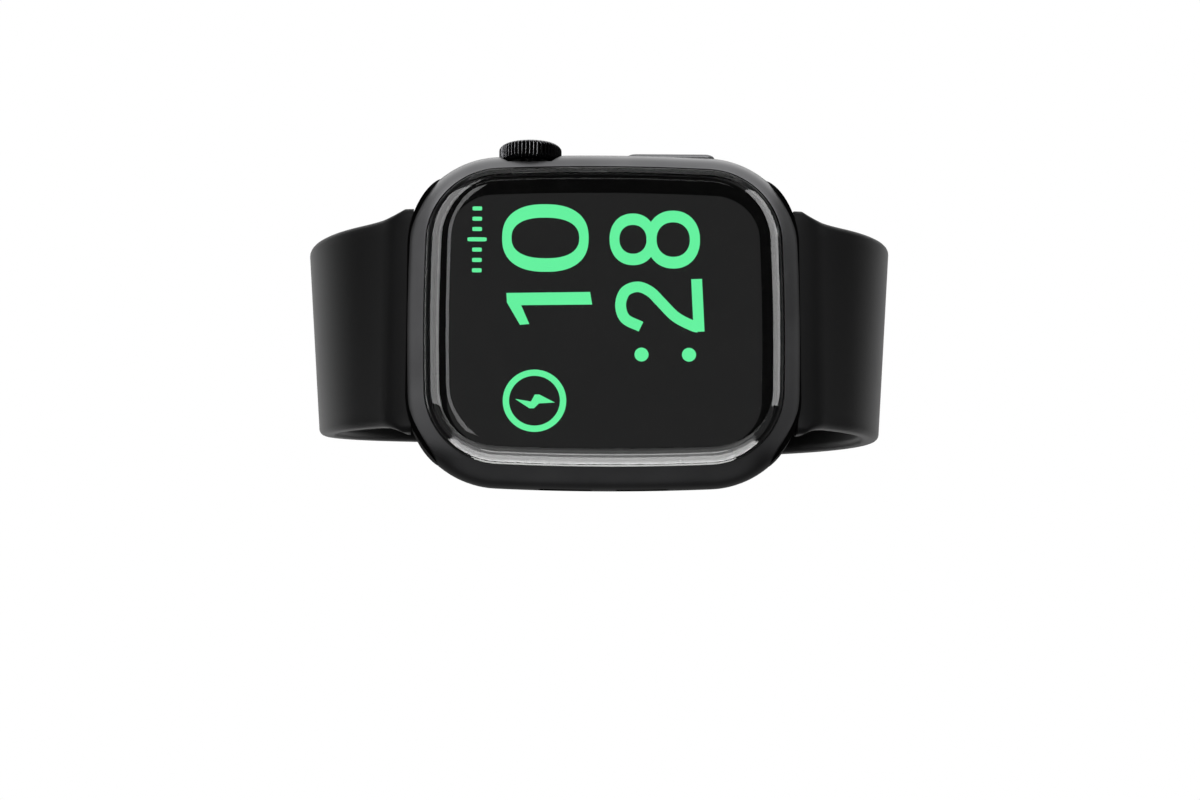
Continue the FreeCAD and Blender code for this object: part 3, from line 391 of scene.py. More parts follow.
class MeshDraft:
    """Vertices and faces, in millimetres, on their way to an object."""

    def __init__(self) -> None:
        """Start with nothing."""
        self.points: list[Vector] = []
        self.faces: list[tuple[int, ...]] = []

    def ring(self, points: Iterable[Vector]) -> list[int]:
        """Add a row of points.

        Args:
            points: The points of the row, in millimetres.

        Returns:
            Their numbers in the draft.
        """
        first = len(self.points)
        self.points.extend(points)
        return list(range(first, len(self.points)))

    def bridge(self, first: Sequence[int], second: Sequence[int], closed: bool = True) -> None:
        """Join two rows of the same length with quads.

        Args:
            first: Numbers of one row.
            second: Numbers of the other.
            closed: Whether the last pair joins the first.
        """
        count = len(first)
        for i in range(count if closed else count - 1):
            j = (i + 1) % count
            self.faces.append((first[i], first[j], second[j], second[i]))

    def fan(self, row: Sequence[int], centre: Vector) -> None:
        """Close a row of points with triangles round a centre.

        Args:
            row: Numbers of the row.
            centre: The point in its middle.
        """
        middle = self.ring([centre])[0]
        for i, point in enumerate(row):
            self.faces.append((point, row[(i + 1) % len(row)], middle))

    def build(self, name: str, finish: Finish, body: str, smooth_angle: float = 40.0,
              slot: str = "", replaces: Sequence[str] = ()) -> bpy.types.Object:
        """Make the object, dress it and tie it to its body.

        Args:
            name: The piece's name.
            finish: Its material.
            body: The CAD body that carries it.
            smooth_angle: Edges flatter than this, in degrees, are shaded smooth.
            slot: The record's material slot; not used.
            replaces: CAD nodes that it stands for.

        Returns:
            The new object.
        """
        mesh = bpy.data.meshes.new(name)
        mesh.from_pydata([tuple(p * MM) for p in self.points], [], self.faces)
        mesh.validate()
        made = bpy.data.objects.new(name, mesh)
        bpy.context.scene.collection.objects.link(made)
        face_out(made)
        smooth_by_angle(mesh, smooth_angle)
        mesh.materials.append(finish.material())
        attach(made, body)
        if replaces:
            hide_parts(*replaces)
        return made


def face_out(piece: bpy.types.Object) -> None:
    """Merge doubled points and turn every face outwards.

    Args:
        piece: The object whose mesh is mended.
    """
    work = bmesh.new()
    work.from_mesh(piece.data)
    bmesh.ops.remove_doubles(work, verts=work.verts, dist=MERGE_GAP)
    bmesh.ops.recalc_face_normals(work, faces=work.faces)
    work.to_mesh(piece.data)
    work.free()


def smooth_by_angle(mesh: bpy.types.Mesh, angle: float) -> None:
    """Shade smooth, but keep edges sharper than the angle."""
    mesh.shade_smooth()
    mesh.set_sharp_from_angle(angle=math.radians(angle))


@dataclass(frozen=True)
class Outline:
    """Rounded rectangle with faintly bowed sides, the shape of the case, the crystal and the display."""

    length: float
    height: float
    corner: float
    bow: float = 260.0
    lift: float = 0.0

    def points(self, inset: float = 0.0, per_corner: int = 28, per_side: int = 20) -> list[Point2]:
        """Points round the outline, moved in by an inset, starting on the right of the top side.

        Args:
            inset: How far the outline moves in.
            per_corner: Steps along each corner.
            per_side: Steps along each side.

        Returns:
            The points, clockwise.
        """
        centre, top, end = self._corner()
        angle_top = math.atan2(top[1] - centre[1], top[0] - centre[0])
        angle_end = math.atan2(end[1] - centre[1], end[0] - centre[0])
        radius = self.corner - inset
        quarter = []
        for i in range(per_corner + 1):
            a = angle_top + (angle_end - angle_top) * i / per_corner
            quarter.append((centre[0] + radius * math.cos(a), centre[1] + radius * math.sin(a)))
        reach = self.bow - inset
        side_low = math.asin(end[1] / self.bow)
        right = []
        for i in range(1, per_side):
            a = side_low * (1 - 2 * i / per_side)
            right.append((self.length / 2 - self.bow + reach * math.cos(a), reach * math.sin(a)))
        top_low = math.asin(top[0] / self.bow)
        upper = []
        for i in range(1, per_side):
            a = -top_low * (1 - 2 * i / per_side)
            upper.append((reach * math.sin(a), self.height / 2 - self.bow + reach * math.cos(a)))
        lower_right = [(x, -z) for x, z in reversed(quarter)]
        lower = [(-x, -z) for x, z in upper]
        lower_left = [(-x, -z) for x, z in quarter]
        left = [(-x, -z) for x, z in right]
        upper_left = [(-x, z) for x, z in reversed(quarter)]
        return quarter + right + lower_right + lower + lower_left + left + upper_left + upper

    def _corner(self) -> tuple[Point2, Point2, Point2]:
        """Centre of the corner's circle, and where it meets the top side and the end.

        Returns:
            The centre and the two points.
        """
        reach = self.bow - self.corner
        top = Vector((0.0, self.height / 2 - self.bow))
        end = Vector((self.length / 2 - self.bow, 0.0))
        apart = end - top
        across = Vector((apart.y, -apart.x)).normalized()
        if across.x < 0:
            across = -across
        centre = (top + end) / 2 + across * math.sqrt(reach ** 2 - (apart.length / 2) ** 2)
        on_top = top + (centre - top) * (self.bow / reach)
        on_end = end + (centre - end) * (self.bow / reach)
        return tuple(centre), tuple(on_top), tuple(on_end)

    def ring(self, draft: MeshDraft, inset: float, depth: float) -> list[int]:
        """Add the outline to a draft at an inset and a depth behind the crystal's face.

        Args:
            draft: The mesh that takes it.
            inset: How far the outline moves in.
            depth: How far it lies behind the face of the crystal.

        Returns:
            The numbers of its points.
        """
        middle = MID_Z + self.lift
        return draft.ring(Vector((x, FRONT_Y + depth, middle + z)) for x, z in self.points(inset))


# ---------------------------------------------------------------- front

@dataclass
class Front:
    """Crystal with its curved edge, the printed border under it and what the lit display shows."""

    glass: Outline = Outline(39.4, 33.6, 8.3)
    lit: Outline = Outline(34.4, 28.5, 5.0, lift=-0.7)
    edge_width: float = 3.0
    edge_drop: float = 2.0
    skin: float = 1.15
    back: float = 2.65
    skirt: float = 1.15
    edge_steps: int = 14
    flat_band: float = 0.05
    flat_reach: float = 4.0
    lip: float = 0.1
    pocket_round: Point2 = (0.12, 0.45)
    ink_foot: float = 0.02
    ink_gap: float = 0.03
    ink_corner: Point2 = (0.16, 0.17)
    film: float = 0.05

    def build(self) -> list[bpy.types.Object]:
        """Make the front's pieces."""
        return [self.crystal(), self.border()]

    def crystal(self) -> bpy.types.Object:
        """Clear crystal: flat middle, elliptical edge, and a pocket behind.

        Returns:
            The crystal.
        """
        draft = MeshDraft()
        rows = [self.glass.ring(draft, self.edge_width + inward, 0.0)
                for inward in (self.flat_reach, self.flat_band)]
        for step in range(self.edge_steps + 1):
            turn = math.pi / 2 * step / self.edge_steps
            inset = self.edge_width * (1 - math.sin(turn))
            rows.append(self.glass.ring(draft, inset, self.edge_drop * (1 - math.cos(turn))))
        near, far = self.pocket_round
        for inset, depth in (
            (0.0, self.back - self.lip), (self.lip, self.back), (self.skirt - self.lip, self.back),
            (self.skirt, self.back - self.lip), (self.skirt, self.skin + far),
            (self.skirt + near, self.skin + near), (self.skirt + far, self.skin),
            (self.skirt + far + self.flat_band, self.skin), (self.edge_width + self.flat_reach, self.skin),
        ):
            rows.append(self.glass.ring(draft, inset, depth))
        for first, second in zip(rows, rows[1:]):
            draft.bridge(first, second)
        draft.fan(rows[0], Vector((0, FRONT_Y, MID_Z)))
        draft.fan(rows[-1], Vector((0, FRONT_Y + self.skin, MID_Z)))
        return draft.build("crystal_glass_cover", COVER_GLASS, "case", 35.0, "crystal_glass",
                           ["front_crystal"])

    def border(self) -> bpy.types.Object:
        """Black ink that lines the back of the crystal around the lit area.

        Returns:
            The border.
        """
        draft = MeshDraft()
        near, film, far = self.ink_gap, self.film, self.pocket_round[1] + self.film
        profile = [
            (self.skirt + self.ink_foot, self.back - self.lip - film), (self.skirt + near, self.skin + far),
            (self.skirt + self.ink_corner[0], self.skin + self.ink_corner[1]),
            (self.skirt + far, self.skin + near),
        ]
        inner_gap = (self.glass.length - self.lit.length) / 2
        rows = [self.glass.ring(draft, inset, depth) for inset, depth in profile]
        rows.append(self.lit.ring(draft, 0.0, self.skin + near))
        rows.append(self.lit.ring(draft, 0.0, self.skin + near + film))
        for inset, depth in reversed(profile):
            rows.append(self.glass.ring(draft, min(inset + film, inner_gap - self.lip), depth + film))
        for first, second in zip(rows, rows[1:] + rows[:1]):
            draft.bridge(first, second)
        return draft.build("border_print", BORDER_INK, "case", 35.0, "mask_ink", ["display_mask"])


@dataclass
class Dial:
    """What the display shows: the hour over the minutes, a charge mark and the week in seven pips.

    The dial is read with 12 o'clock at -X, so its figures lie on their left side.
    """

    centre: Point2 = (-0.2, -0.55)
    scale: float = 0.958
    front: float = 1.215
    thick: float = 0.03
    layer: float = 0.012
    stroke: float = 1.24
    dot: float = 0.8
    pip_at: Point2 = (-14.4, 9.11)
    pip_pitch: float = 1.22
    pip_half: Point2 = (0.55, 0.24)
    pip_today: float = 1.1
    pip_power: float = 6.0
    round_steps: int = 72

    def build(self) -> list[bpy.types.Object]:
        """Make each figure.

        Returns:
            The figures.
        """
        return [
            self._ring("hour_zero", (-6.57, 9.32), (4.96, 4.0), (3.88, 2.41), 2.4),
            self._plate("hour_one", self._one()),
            self._ring("minute_eight_head", (3.48, 9.22), (2.69, 3.06), (1.56, 1.71), 2.15),
            self._ring("minute_eight_foot", (8.10, 9.22), (3.08, 3.43), (1.91, 2.05), 2.15, self.layer),
            self._bars("minute_two", [self._two_hook(), self._two_base()]),
            self._dots("colon", [(4.42, -4.32), (9.83, -4.32)]),
            self._ring("charge_ring", (-7.73, -9.73), (3.6, 3.6), (2.88, 2.88), 2.0),
            self._plate("charge_bolt", self._bolt()),
            self._pips(),
        ]

    def place(self, point: Point2) -> Vector:
        """Point on the display, from the dial's centre: across to 6 o'clock and up to the crown side."""
        across, up = point
        return Vector((self.centre[0] + across * self.scale, 0.0, MID_Z + self.centre[1] + up * self.scale))

    def _finish(self, draft: MeshDraft, name: str) -> bpy.types.Object:
        """Make one lit figure."""
        return draft.build(name, LIT_GREEN, "case", 30.0, "display_oled")

    def _solid(self, draft: MeshDraft, outer: Sequence[Point2], inner: Sequence[Point2] | None,
               lift: float = 0.0) -> None:
        """Add a thin plate with an outline, and a hole with as many points if there is one.

        Args:
            draft: The mesh that takes it.
            outer: The outline.
            inner: The hole's outline, or None.
            lift: How far the plate lies behind the others.
        """
        depth = self.front + lift
        lie = [Vector((0, FRONT_Y + d, 0)) for d in (depth, depth + self.thick)]
        outer_rows = [draft.ring(self.place(p) + y for p in outer) for y in lie]
        draft.bridge(outer_rows[0], outer_rows[1])
        if inner is None:
            draft.faces.append(tuple(outer_rows[0]))
            draft.faces.append(tuple(reversed(outer_rows[1])))
            return
        inner_rows = [draft.ring(self.place(p) + y for p in inner) for y in lie]
        draft.bridge(inner_rows[1], inner_rows[0])
        draft.bridge(inner_rows[0], outer_rows[0])
        draft.bridge(outer_rows[1], inner_rows[1])

    def _oval(self, centre: Point2, half: Point2, power: float) -> list[Point2]:
        """Superellipse about a centre.

        Args:
            centre: Its middle.
            half: Half its size each way.
            power: 2 for an ellipse, and more for a squarer one.

        Returns:
            Its points.
        """
        points = []
        for step in range(self.round_steps):
            a = 2 * math.pi * step / self.round_steps
            c, s = math.cos(a), math.sin(a)
            points.append((centre[0] + half[0] * math.copysign(abs(c) ** (2 / power), c),
                           centre[1] + half[1] * math.copysign(abs(s) ** (2 / power), s)))
        return points

    def _ring(self, name: str, centre: Point2, outer: Point2, inner: Point2, power: float,
              lift: float = 0.0) -> bpy.types.Object:
        """Closed loop between two ovals.

        Args:
            name: The piece's name.
            centre: Middle of both ovals.
            outer: Half the outer oval's size.
            inner: Half the inner oval's size.
            power: How square both are.
            lift: How far it lies behind the others.

        Returns:
            The piece.
        """
        draft = MeshDraft()
        self._solid(draft, self._oval(centre, outer, power), self._oval(centre, inner, power), lift)
        return self._finish(draft, name)

    def _plate(self, name: str, outline: Sequence[Point2]) -> bpy.types.Object:
        """Flat plate.

        Args:
            name: The piece's name.
            outline: Its outline.

        Returns:
            The piece.
        """
        draft = MeshDraft()
        self._solid(draft, outline, None)
        return self._finish(draft, name)

    def _dots(self, name: str, centres: Sequence[Point2]) -> bpy.types.Object:
        """Round dots in one piece.

        Args:
            name: The piece's name.
            centres: The middle of each dot.

        Returns:
            The piece.
        """
        draft = MeshDraft()
        for centre in centres:
            self._solid(draft, self._oval(centre, (self.dot, self.dot), 2.0), None)
        return self._finish(draft, name)

    def _pips(self) -> bpy.types.Object:
        """Seven bars for the days of the week, the fourth one long.

        Returns:
            The piece.
        """
        draft = MeshDraft()
        for day in range(-3, 4):
            middle = (self.pip_at[0], self.pip_at[1] + self.pip_pitch * day)
            half = (self.pip_today if day == 0 else self.pip_half[0], self.pip_half[1])
            self._solid(draft, self._oval(middle, half, self.pip_power), None)
        return self._finish(draft, "week_pips")

    def _one(self) -> list[Point2]:
        """Outline of the figure one, head to the left."""
        return [(-11.0, 2.80), (-1.44, 2.97), (-1.20, 1.50), (-9.31, 1.38), (-8.37, -0.82),
                (-9.43, -0.92), (-10.93, 1.70)]

    def _two_hook(self) -> list[Point2]:
        """Centre line of the figure two's hook and neck, head to the left."""
        return flowing([(4.37, -1.07), (2.58, -0.14), (2.05, 1.45), (2.58, 3.04), (4.01, 3.61),
                        (5.45, 3.04), (6.65, 1.82), (8.32, 0.11), (10.23, -0.92), (10.95, -1.12)])

    def _two_base(self) -> list[Point2]:
        """Centre line of the figure two's base."""
        return [(10.76, 4.56), (11.0, -1.61)]

    def _bolt(self) -> list[Point2]:
        """Outline of the charge mark."""
        return [(-9.93, -9.54), (-8.13, -9.83), (-7.70, -9.02), (-7.18, -9.02), (-5.43, -9.93),
                (-7.23, -10.05), (-7.78, -10.61), (-8.30, -10.61)]

    def _bars(self, name: str, lines: Sequence[Sequence[Point2]]) -> bpy.types.Object:
        """Bars of even width along centre lines, each a little behind the one before.

        Args:
            name: The piece's name.
            lines: Centre line of each bar.

        Returns:
            The piece.
        """
        draft = MeshDraft()
        for number, line in enumerate(lines):
            left, right = [], []
            for i, point in enumerate(line):
                before, after = Vector(line[max(i - 1, 0)]), Vector(line[min(i + 1, len(line) - 1)])
                along = (after - before).normalized()
                across = Vector((-along.y, along.x)) * (self.stroke / 2)
                left.append(tuple(Vector(point) + across))
                right.append(tuple(Vector(point) - across))
            depth = self.front + self.layer * number
            lie = [Vector((0, FRONT_Y + d, 0)) for d in (depth, depth + self.thick)]
            rows = [draft.ring(self.place(p) + y for p in side) for y in lie for side in (left, right)]
            near_left, near_right, far_left, far_right = rows
            for a, b in ((near_left, near_right), (far_right, far_left), (far_left, near_left),
                         (near_right, far_right)):
                draft.bridge(a, b, closed=False)
            for end in (0, -1):
                draft.faces.append((near_left[end], near_right[end], far_right[end], far_left[end]))
        return self._finish(draft, name)


def flowing(points: Sequence[Point2], steps: int = 6) -> list[Point2]:
    """Smooth line through the given points.

    Args:
        points: Points that the line passes through.
        steps: Steps between two of them.

    Returns:
        The denser line.
    """
    line = [Vector(p) for p in points]
    line = [line[0] * 2 - line[1]] + line + [line[-1] * 2 - line[-2]]
    out = []
    for i in range(1, len(line) - 2):
        before, here, after, later = line[i - 1:i + 3]
        for k in range(steps):
            t = k / steps
            out.append(tuple(0.5 * (here * 2 + (after - before) * t
                                    + (before * 2 - here * 5 + after * 4 - later) * t * t
                                    + (here * 3 - before - after * 3 + later) * t ** 3)))
    return out + [tuple(points[-1])]


# ---------------------------------------------------------------- crown

@dataclass
class Crown:
    """Knurled knob with chamfered rims and a seat for the touch cap."""

    radius: float = 3.5
    teeth: int = 48
    groove: float = 0.22
    groove_power: float = 0.7
    chamfer: float = 0.36
    foot_radius: float = 2.6
    seat_radius: float = 2.8
    seat_depth: float = 0.5
    seat_edge: float = 0.05
    steps_per_tooth: int = 8
    centre: Point2 = (0.0, 0.0)

    def build(self) -> list[bpy.types.Object]:
        """Make the knob around the CAD knob's own box; each level is a radius, a height and a cut.

        Returns:
            The knob.
        """
        low, high = span("crown_knob")
        self.centre = ((low.x + high.x) / 2, (low.y + high.y) / 2)
        c = self.chamfer
        profile = [
            (self.foot_radius, low.z, 0.0), (self.radius - c, low.z, 0.0),
            (self.radius - c * 0.45, low.z + c * 0.4, 0.35),
            (self.radius, low.z + c, 1.0), (self.radius, (low.z + high.z) / 2, 1.0),
            (self.radius, high.z - c, 1.0), (self.radius - c * 0.4, high.z - c * 0.4, 0.45),
            (self.radius - c * 0.75, high.z - self.seat_edge, 0.05), (self.radius - c, high.z, 0.0),
            (self.seat_radius + self.seat_edge, high.z, 0.0),
            (self.seat_radius, high.z - self.seat_edge, 0.0),
            (self.seat_radius, high.z - self.seat_depth, 0.0),
        ]
        draft = MeshDraft()
        rows = [self._row(draft, *station) for station in profile]
        for first, second in zip(rows, rows[1:]):
            draft.bridge(first, second)
        draft.fan(rows[0], Vector((*self.centre, low.z)))
        draft.fan(rows[-1], Vector((*self.centre, high.z - self.seat_depth)))
        return [draft.build("crown_knurled_knob", CROWN_METAL, "crown", 50.0, "crown_aluminium",
                            ["crown_knob"])]

    def _row(self, draft: MeshDraft, radius: float, height: float, cut: float) -> list[int]:
        """One level of the knob, its grooves cut in by a share of their full depth.

        Args:
            draft: The mesh that takes it.
            radius: Radius at the tips of the teeth.
            height: Where the level lies.
            cut: Share of the full depth of the grooves.

        Returns:
            The numbers of its points.
        """
        count = self.teeth * self.steps_per_tooth
        points = []
        for step in range(count):
            turn = 2 * math.pi * step / count
            dip = self.groove * cut * (1 - abs(math.cos(turn * self.teeth / 2)) ** self.groove_power)
            reach = radius - dip
            points.append(Vector((self.centre[0] + reach * math.cos(turn),
                                  self.centre[1] + reach * math.sin(turn), height)))
        return draft.ring(points)


# ---------------------------------------------------------------- band

@dataclass
class Loop:
    """Centre line of the closed band, the same both ways round from the case to the rear centre.

    Going back from the lugs the loop climbs to the crown side, and it leans so that it is wider there.
    """

    root_x: float = 21.8
    root_heading: float = 25.0
    shoulder_heading: float = 50.0
    shoulder_radius: float = 5.0
    shoulder_run: float = 5.2
    cheek_radius: float = 24.0
    hip_heading: float = 135.0
    rear_y: float = 24.388
    rise: float = 0.095
    lean: float = 4.2
    lean_ramp: float = 22.0
    root_blend: float = 0.8
    root_out: float = 0.2
    stretches: list[tuple[Point2, float, float, float]] = field(default_factory=list)
    half: float = 0.0
    point: Point2 = (0.0, 0.0)
    heading: float = 0.0

    def __post_init__(self) -> None:
        """Lay out the stretches; the last two arcs meet at the rear centre, heading along -X."""
        self.point = (self.root_x, AXIS_Y + self.root_out)
        self.heading = self.root_heading
        self._add(self.shoulder_heading, self.shoulder_radius)
        self._add(self.shoulder_heading, 0.0, self.shoulder_run)
        self._add(90.0, self.cheek_radius)
        hip = math.radians(self.hip_heading)
        climb = self.rear_y - self.point[1]
        run = self.point[0]
        a11, a12 = 1 - math.sin(hip), math.sin(hip)
        a21, a22 = -math.cos(hip), 1 + math.cos(hip)
        det = a11 * a22 - a12 * a21
        hip_radius = (run * a22 - a12 * climb) / det
        rear_radius = (a11 * climb - a21 * run) / det
        self._add(self.hip_heading, hip_radius)
        self._add(180.0, rear_radius)
        self.half = sum(stretch[3] for stretch in self.stretches)

    def _add(self, end: float, radius: float, length: float = 0.0) -> None:
        """Append one arc or straight and move on to its end.

        Args:
            end: Heading at its end, in degrees.
            radius: Radius of the arc, or 0 for a straight.
            length: Length of a straight.
        """
        a, b = math.radians(self.heading), math.radians(end)
        x, y = self.point
        if radius:
            length = radius * (b - a)
            self.stretches.append((self.point, a, radius, length))
            self.point = (x + radius * (math.sin(b) - math.sin(a)), y + radius * (math.cos(a) - math.cos(b)))
        else:
            self.stretches.append((self.point, a, 0.0, length))
            self.point = (x + length * math.cos(a), y + length * math.sin(a))
        self.heading = end

    def _on_half(self, from_case: float) -> tuple[float, float, float]:
        """X, Y and heading at a distance from the case on the 6 o'clock side.

        Args:
            from_case: Distance from the root.

        Returns:
            The two places, and the heading in radians.
        """
        if from_case < 0:
            a = self.stretches[0][1] * max(0.0, 1 + from_case / self.root_blend)
            return self.root_x + from_case, AXIS_Y + self.root_out + from_case * math.tan(a) / 2, a
        for start, a, radius, length in self.stretches:
            if from_case <= length or start == self.stretches[-1][0]:
                break
            from_case -= length
        if not radius:
            return start[0] + from_case * math.cos(a), start[1] + from_case * math.sin(a), a
        b = a + from_case / radius
        return (start[0] + radius * (math.sin(b) - math.sin(a)),
                start[1] + radius * (math.cos(a) - math.cos(b)), b)

    def at(self, s: float) -> tuple[Vector, Vector, Vector]:
        """Place on the band at a distance from the 6 o'clock root, on round to the other.

        Args:
            s: Distance along the centre line.

        Returns:
            The middle of the band's width, the direction outwards and the direction across the band.
        """
        mirrored = s > self.half
        from_case = 2 * self.half - s if mirrored else s
        x, y, heading = self._on_half(from_case)
        mirror = -1 if mirrored else 1
        level = Vector((mirror * math.sin(heading), -math.cos(heading), 0.0))
        upright = Vector((0.0, 0.0, 1.0))
        lean = math.radians(self.lean) * ease(from_case / self.lean_ramp)
        out = level * math.cos(lean) - upright * math.sin(lean)
        across = level * math.sin(lean) + upright * math.cos(lean)
        return Vector((mirror * x, y, MID_Z + self.rise * (y - AXIS_Y))), out, across


def ease(value: float) -> float:
    """Ease from 0 to 1.

    Args:
        value: Any number; below 0 it counts as 0 and above 1 as 1.

    Returns:
        The eased number.
    """
    value = min(max(value, 0.0), 1.0)
    return value * value * (3 - 2 * value)


@dataclass
class MouldedStrap:
    """One half of the band: a plan with holes, rounded at every rim and bent on to its line."""

    name: str
    node: str
    body: str
    length: float
    width: Callable[[float], float]
    lie: Callable[[float, float, float], Vector]
    holes: list[list[Point2]]
    tip: float
    thick: float = 2.3
    rim: float = 0.75
    rim_steps: int = 5
    spacing: float = 0.6
    inner_spacing: float = 1.1
    lanes: int = 12
    clear_share: float = 0.45
    root: float = -0.6
    swell: float = 0.26
    swell_length: float = 2.2
    tip_steps: int = 24
    tip_power: Point2 = (0.8, 0.55)

    def outline(self) -> list[Point2]:
        """Outer plan of the strap, flat: along it, and across from its middle.

        Returns:
            The points, all the way round.
        """
        upper = []
        count = int((self.length - self.root) / self.spacing)
        body_end = self.length - self.tip
        for i in range(count + 1):
            s = self.root + (body_end - self.root) * i / count
            upper.append((s, self.width(s) / 2))
        half = self.width(body_end) / 2
        along, across = self.tip_power
        for i in range(1, self.tip_steps):
            a = math.pi / 2 * i / self.tip_steps
            upper.append((body_end + self.tip * math.sin(a) ** along, half * math.cos(a) ** across))
        lower = [(s, -w) for s, w in reversed(upper)]
        return upper + [(self.length, 0.0)] + lower

    def build(self) -> bpy.types.Object:
        """Make the strap: round rims along its edge and its holes, then a skin on each face.

        Returns:
            The strap.
        """
        draft = MeshDraft()
        loops = [self.outline()] + self.holes
        faces_top, faces_bottom = [], []
        half = self.thick / 2
        for number, loop in enumerate(loops):
            inward = inward_normals(loop, solid_inside=number == 0)
            if number == 0:
                side_end = self.length - self.tip
                inward = [(0.0, -math.copysign(1.0, p[1])) if p[0] <= side_end else n
                          for p, n in zip(loop, inward)]
            rows = []
            for side in (1, -1):
                for step in range(self.rim_steps + 1):
                    turn = math.pi / 2 * (step / self.rim_steps if side < 0 else 1 - step / self.rim_steps)
                    inset = self.rim * (1 - math.cos(turn))
                    height = side * (half - self.rim * (1 - math.sin(turn)))
                    flat = [(p[0] + n[0] * inset, p[1] + n[1] * inset) for p, n in zip(loop, inward)]
                    rows.append((draft.ring(self.place(s, w, height) for s, w in flat), flat))
            for (first, _), (second, _) in zip(rows, rows[1:]):
                draft.bridge(first, second)
            faces_top.append(rows[0])
            faces_bottom.append(rows[-1])
        self._skin(draft, faces_top, half)
        self._skin(draft, faces_bottom, -half)
        return draft.build(self.name, BAND_RUBBER, self.body, 50.0, "strap_elastomer", [self.node])

    def place(self, s: float, w: float, height: float) -> Vector:
        """Bend a flat point on to the strap's line; the root is thicker than the rest."""
        swell = 1 + self.swell * math.exp(-(max(s - self.root, 0.0) / self.swell_length) ** 2)
        return self.lie(s, w, height * swell)

    def _skin(self, draft: MeshDraft, rows: list[tuple[list[int], list[Point2]]], height: float) -> None:
        """Cover one face of the strap with triangles between its rims.

        Args:
            draft: The mesh that takes it.
            rows: Numbers and flat points of each rim, the outer one first.
            height: Height of the face over the centre line.
        """
        flat, numbers, edges = [], [], []
        for row, points in rows:
            first = len(flat)
            flat += points
            numbers += row
            edges += [(first + i, first + (i + 1) % len(points)) for i in range(len(points))]
        walls = [points for _, points in rows]
        columns = int(self.length / self.inner_spacing)
        clear = self.clear_share * self.inner_spacing
        for i in range(columns + 2):
            s = self.root + self.inner_spacing * i
            for j in range(-self.lanes, self.lanes + 1):
                w = j * self.inner_spacing
                if within(walls[0], (s, w), clear) and not any(
                        within(hole, (s, w), -clear) for hole in walls[1:]):
                    flat.append((s, w))
                    numbers.append(draft.ring([self.place(s, w, height)])[0])
        points, _, faces, origin, _, _ = geometry.delaunay_2d_cdt(
            [Vector(p) for p in flat], edges, [], 0, 1e-6)
        for face in faces:
            middle = sum((points[i] for i in face), Vector((0, 0))) / len(face)
            if inside(walls[0], middle) and not any(inside(hole, middle) for hole in walls[1:]):
                draft.faces.append(tuple(numbers[origin[i][0]] for i in face))


def inward_normals(loop: Sequence[Point2], solid_inside: bool) -> list[Point2]:
    """Unit directions from each point of a closed outline into the strap's material.

    Args:
        loop: The outline.
        solid_inside: True for the strap's own edge and False for a hole.

    Returns:
        A direction for each point.
    """
    area = sum(a[0] * b[1] - b[0] * a[1] for a, b in zip(loop, list(loop[1:]) + [loop[0]]))
    sign = 1.0 if (area > 0) == solid_inside else -1.0
    normals = []
    for i in range(len(loop)):
        before, after = Vector(loop[i - 1]), Vector(loop[(i + 1) % len(loop)])
        along = (after - before).normalized()
        normals.append((-along.y * sign, along.x * sign))
    return normals


def inside(loop: Sequence[Point2], point: Point2) -> bool:
    """True if a point is inside a closed outline.

    Args:
        loop: The outline.
        point: The point.

    Returns:
        Whether it is inside.
    """
    x, y = point[0], point[1]
    found = False
    for i in range(len(loop)):
        (x1, y1), (x2, y2) = loop[i - 1], loop[i]
        if (y1 > y) != (y2 > y) and x < (x2 - x1) * (y - y1) / (y2 - y1) + x1:
            found = not found
    return found


def within(loop: Sequence[Point2], point: Point2, clear: float) -> bool:
    """True if a point is inside an outline and clear of it, or, if clear is negative, that near it too.

    Args:
        loop: The outline.
        point: The point.
        clear: How far from the outline it has to be.

    Returns:
        Whether it is.
    """
    nearest = min((p[0] - point[0]) ** 2 + (p[1] - point[1]) ** 2 for p in loop)
    if clear < 0:
        return inside(loop, point) or nearest < clear ** 2
    return inside(loop, point) and nearest > clear ** 2


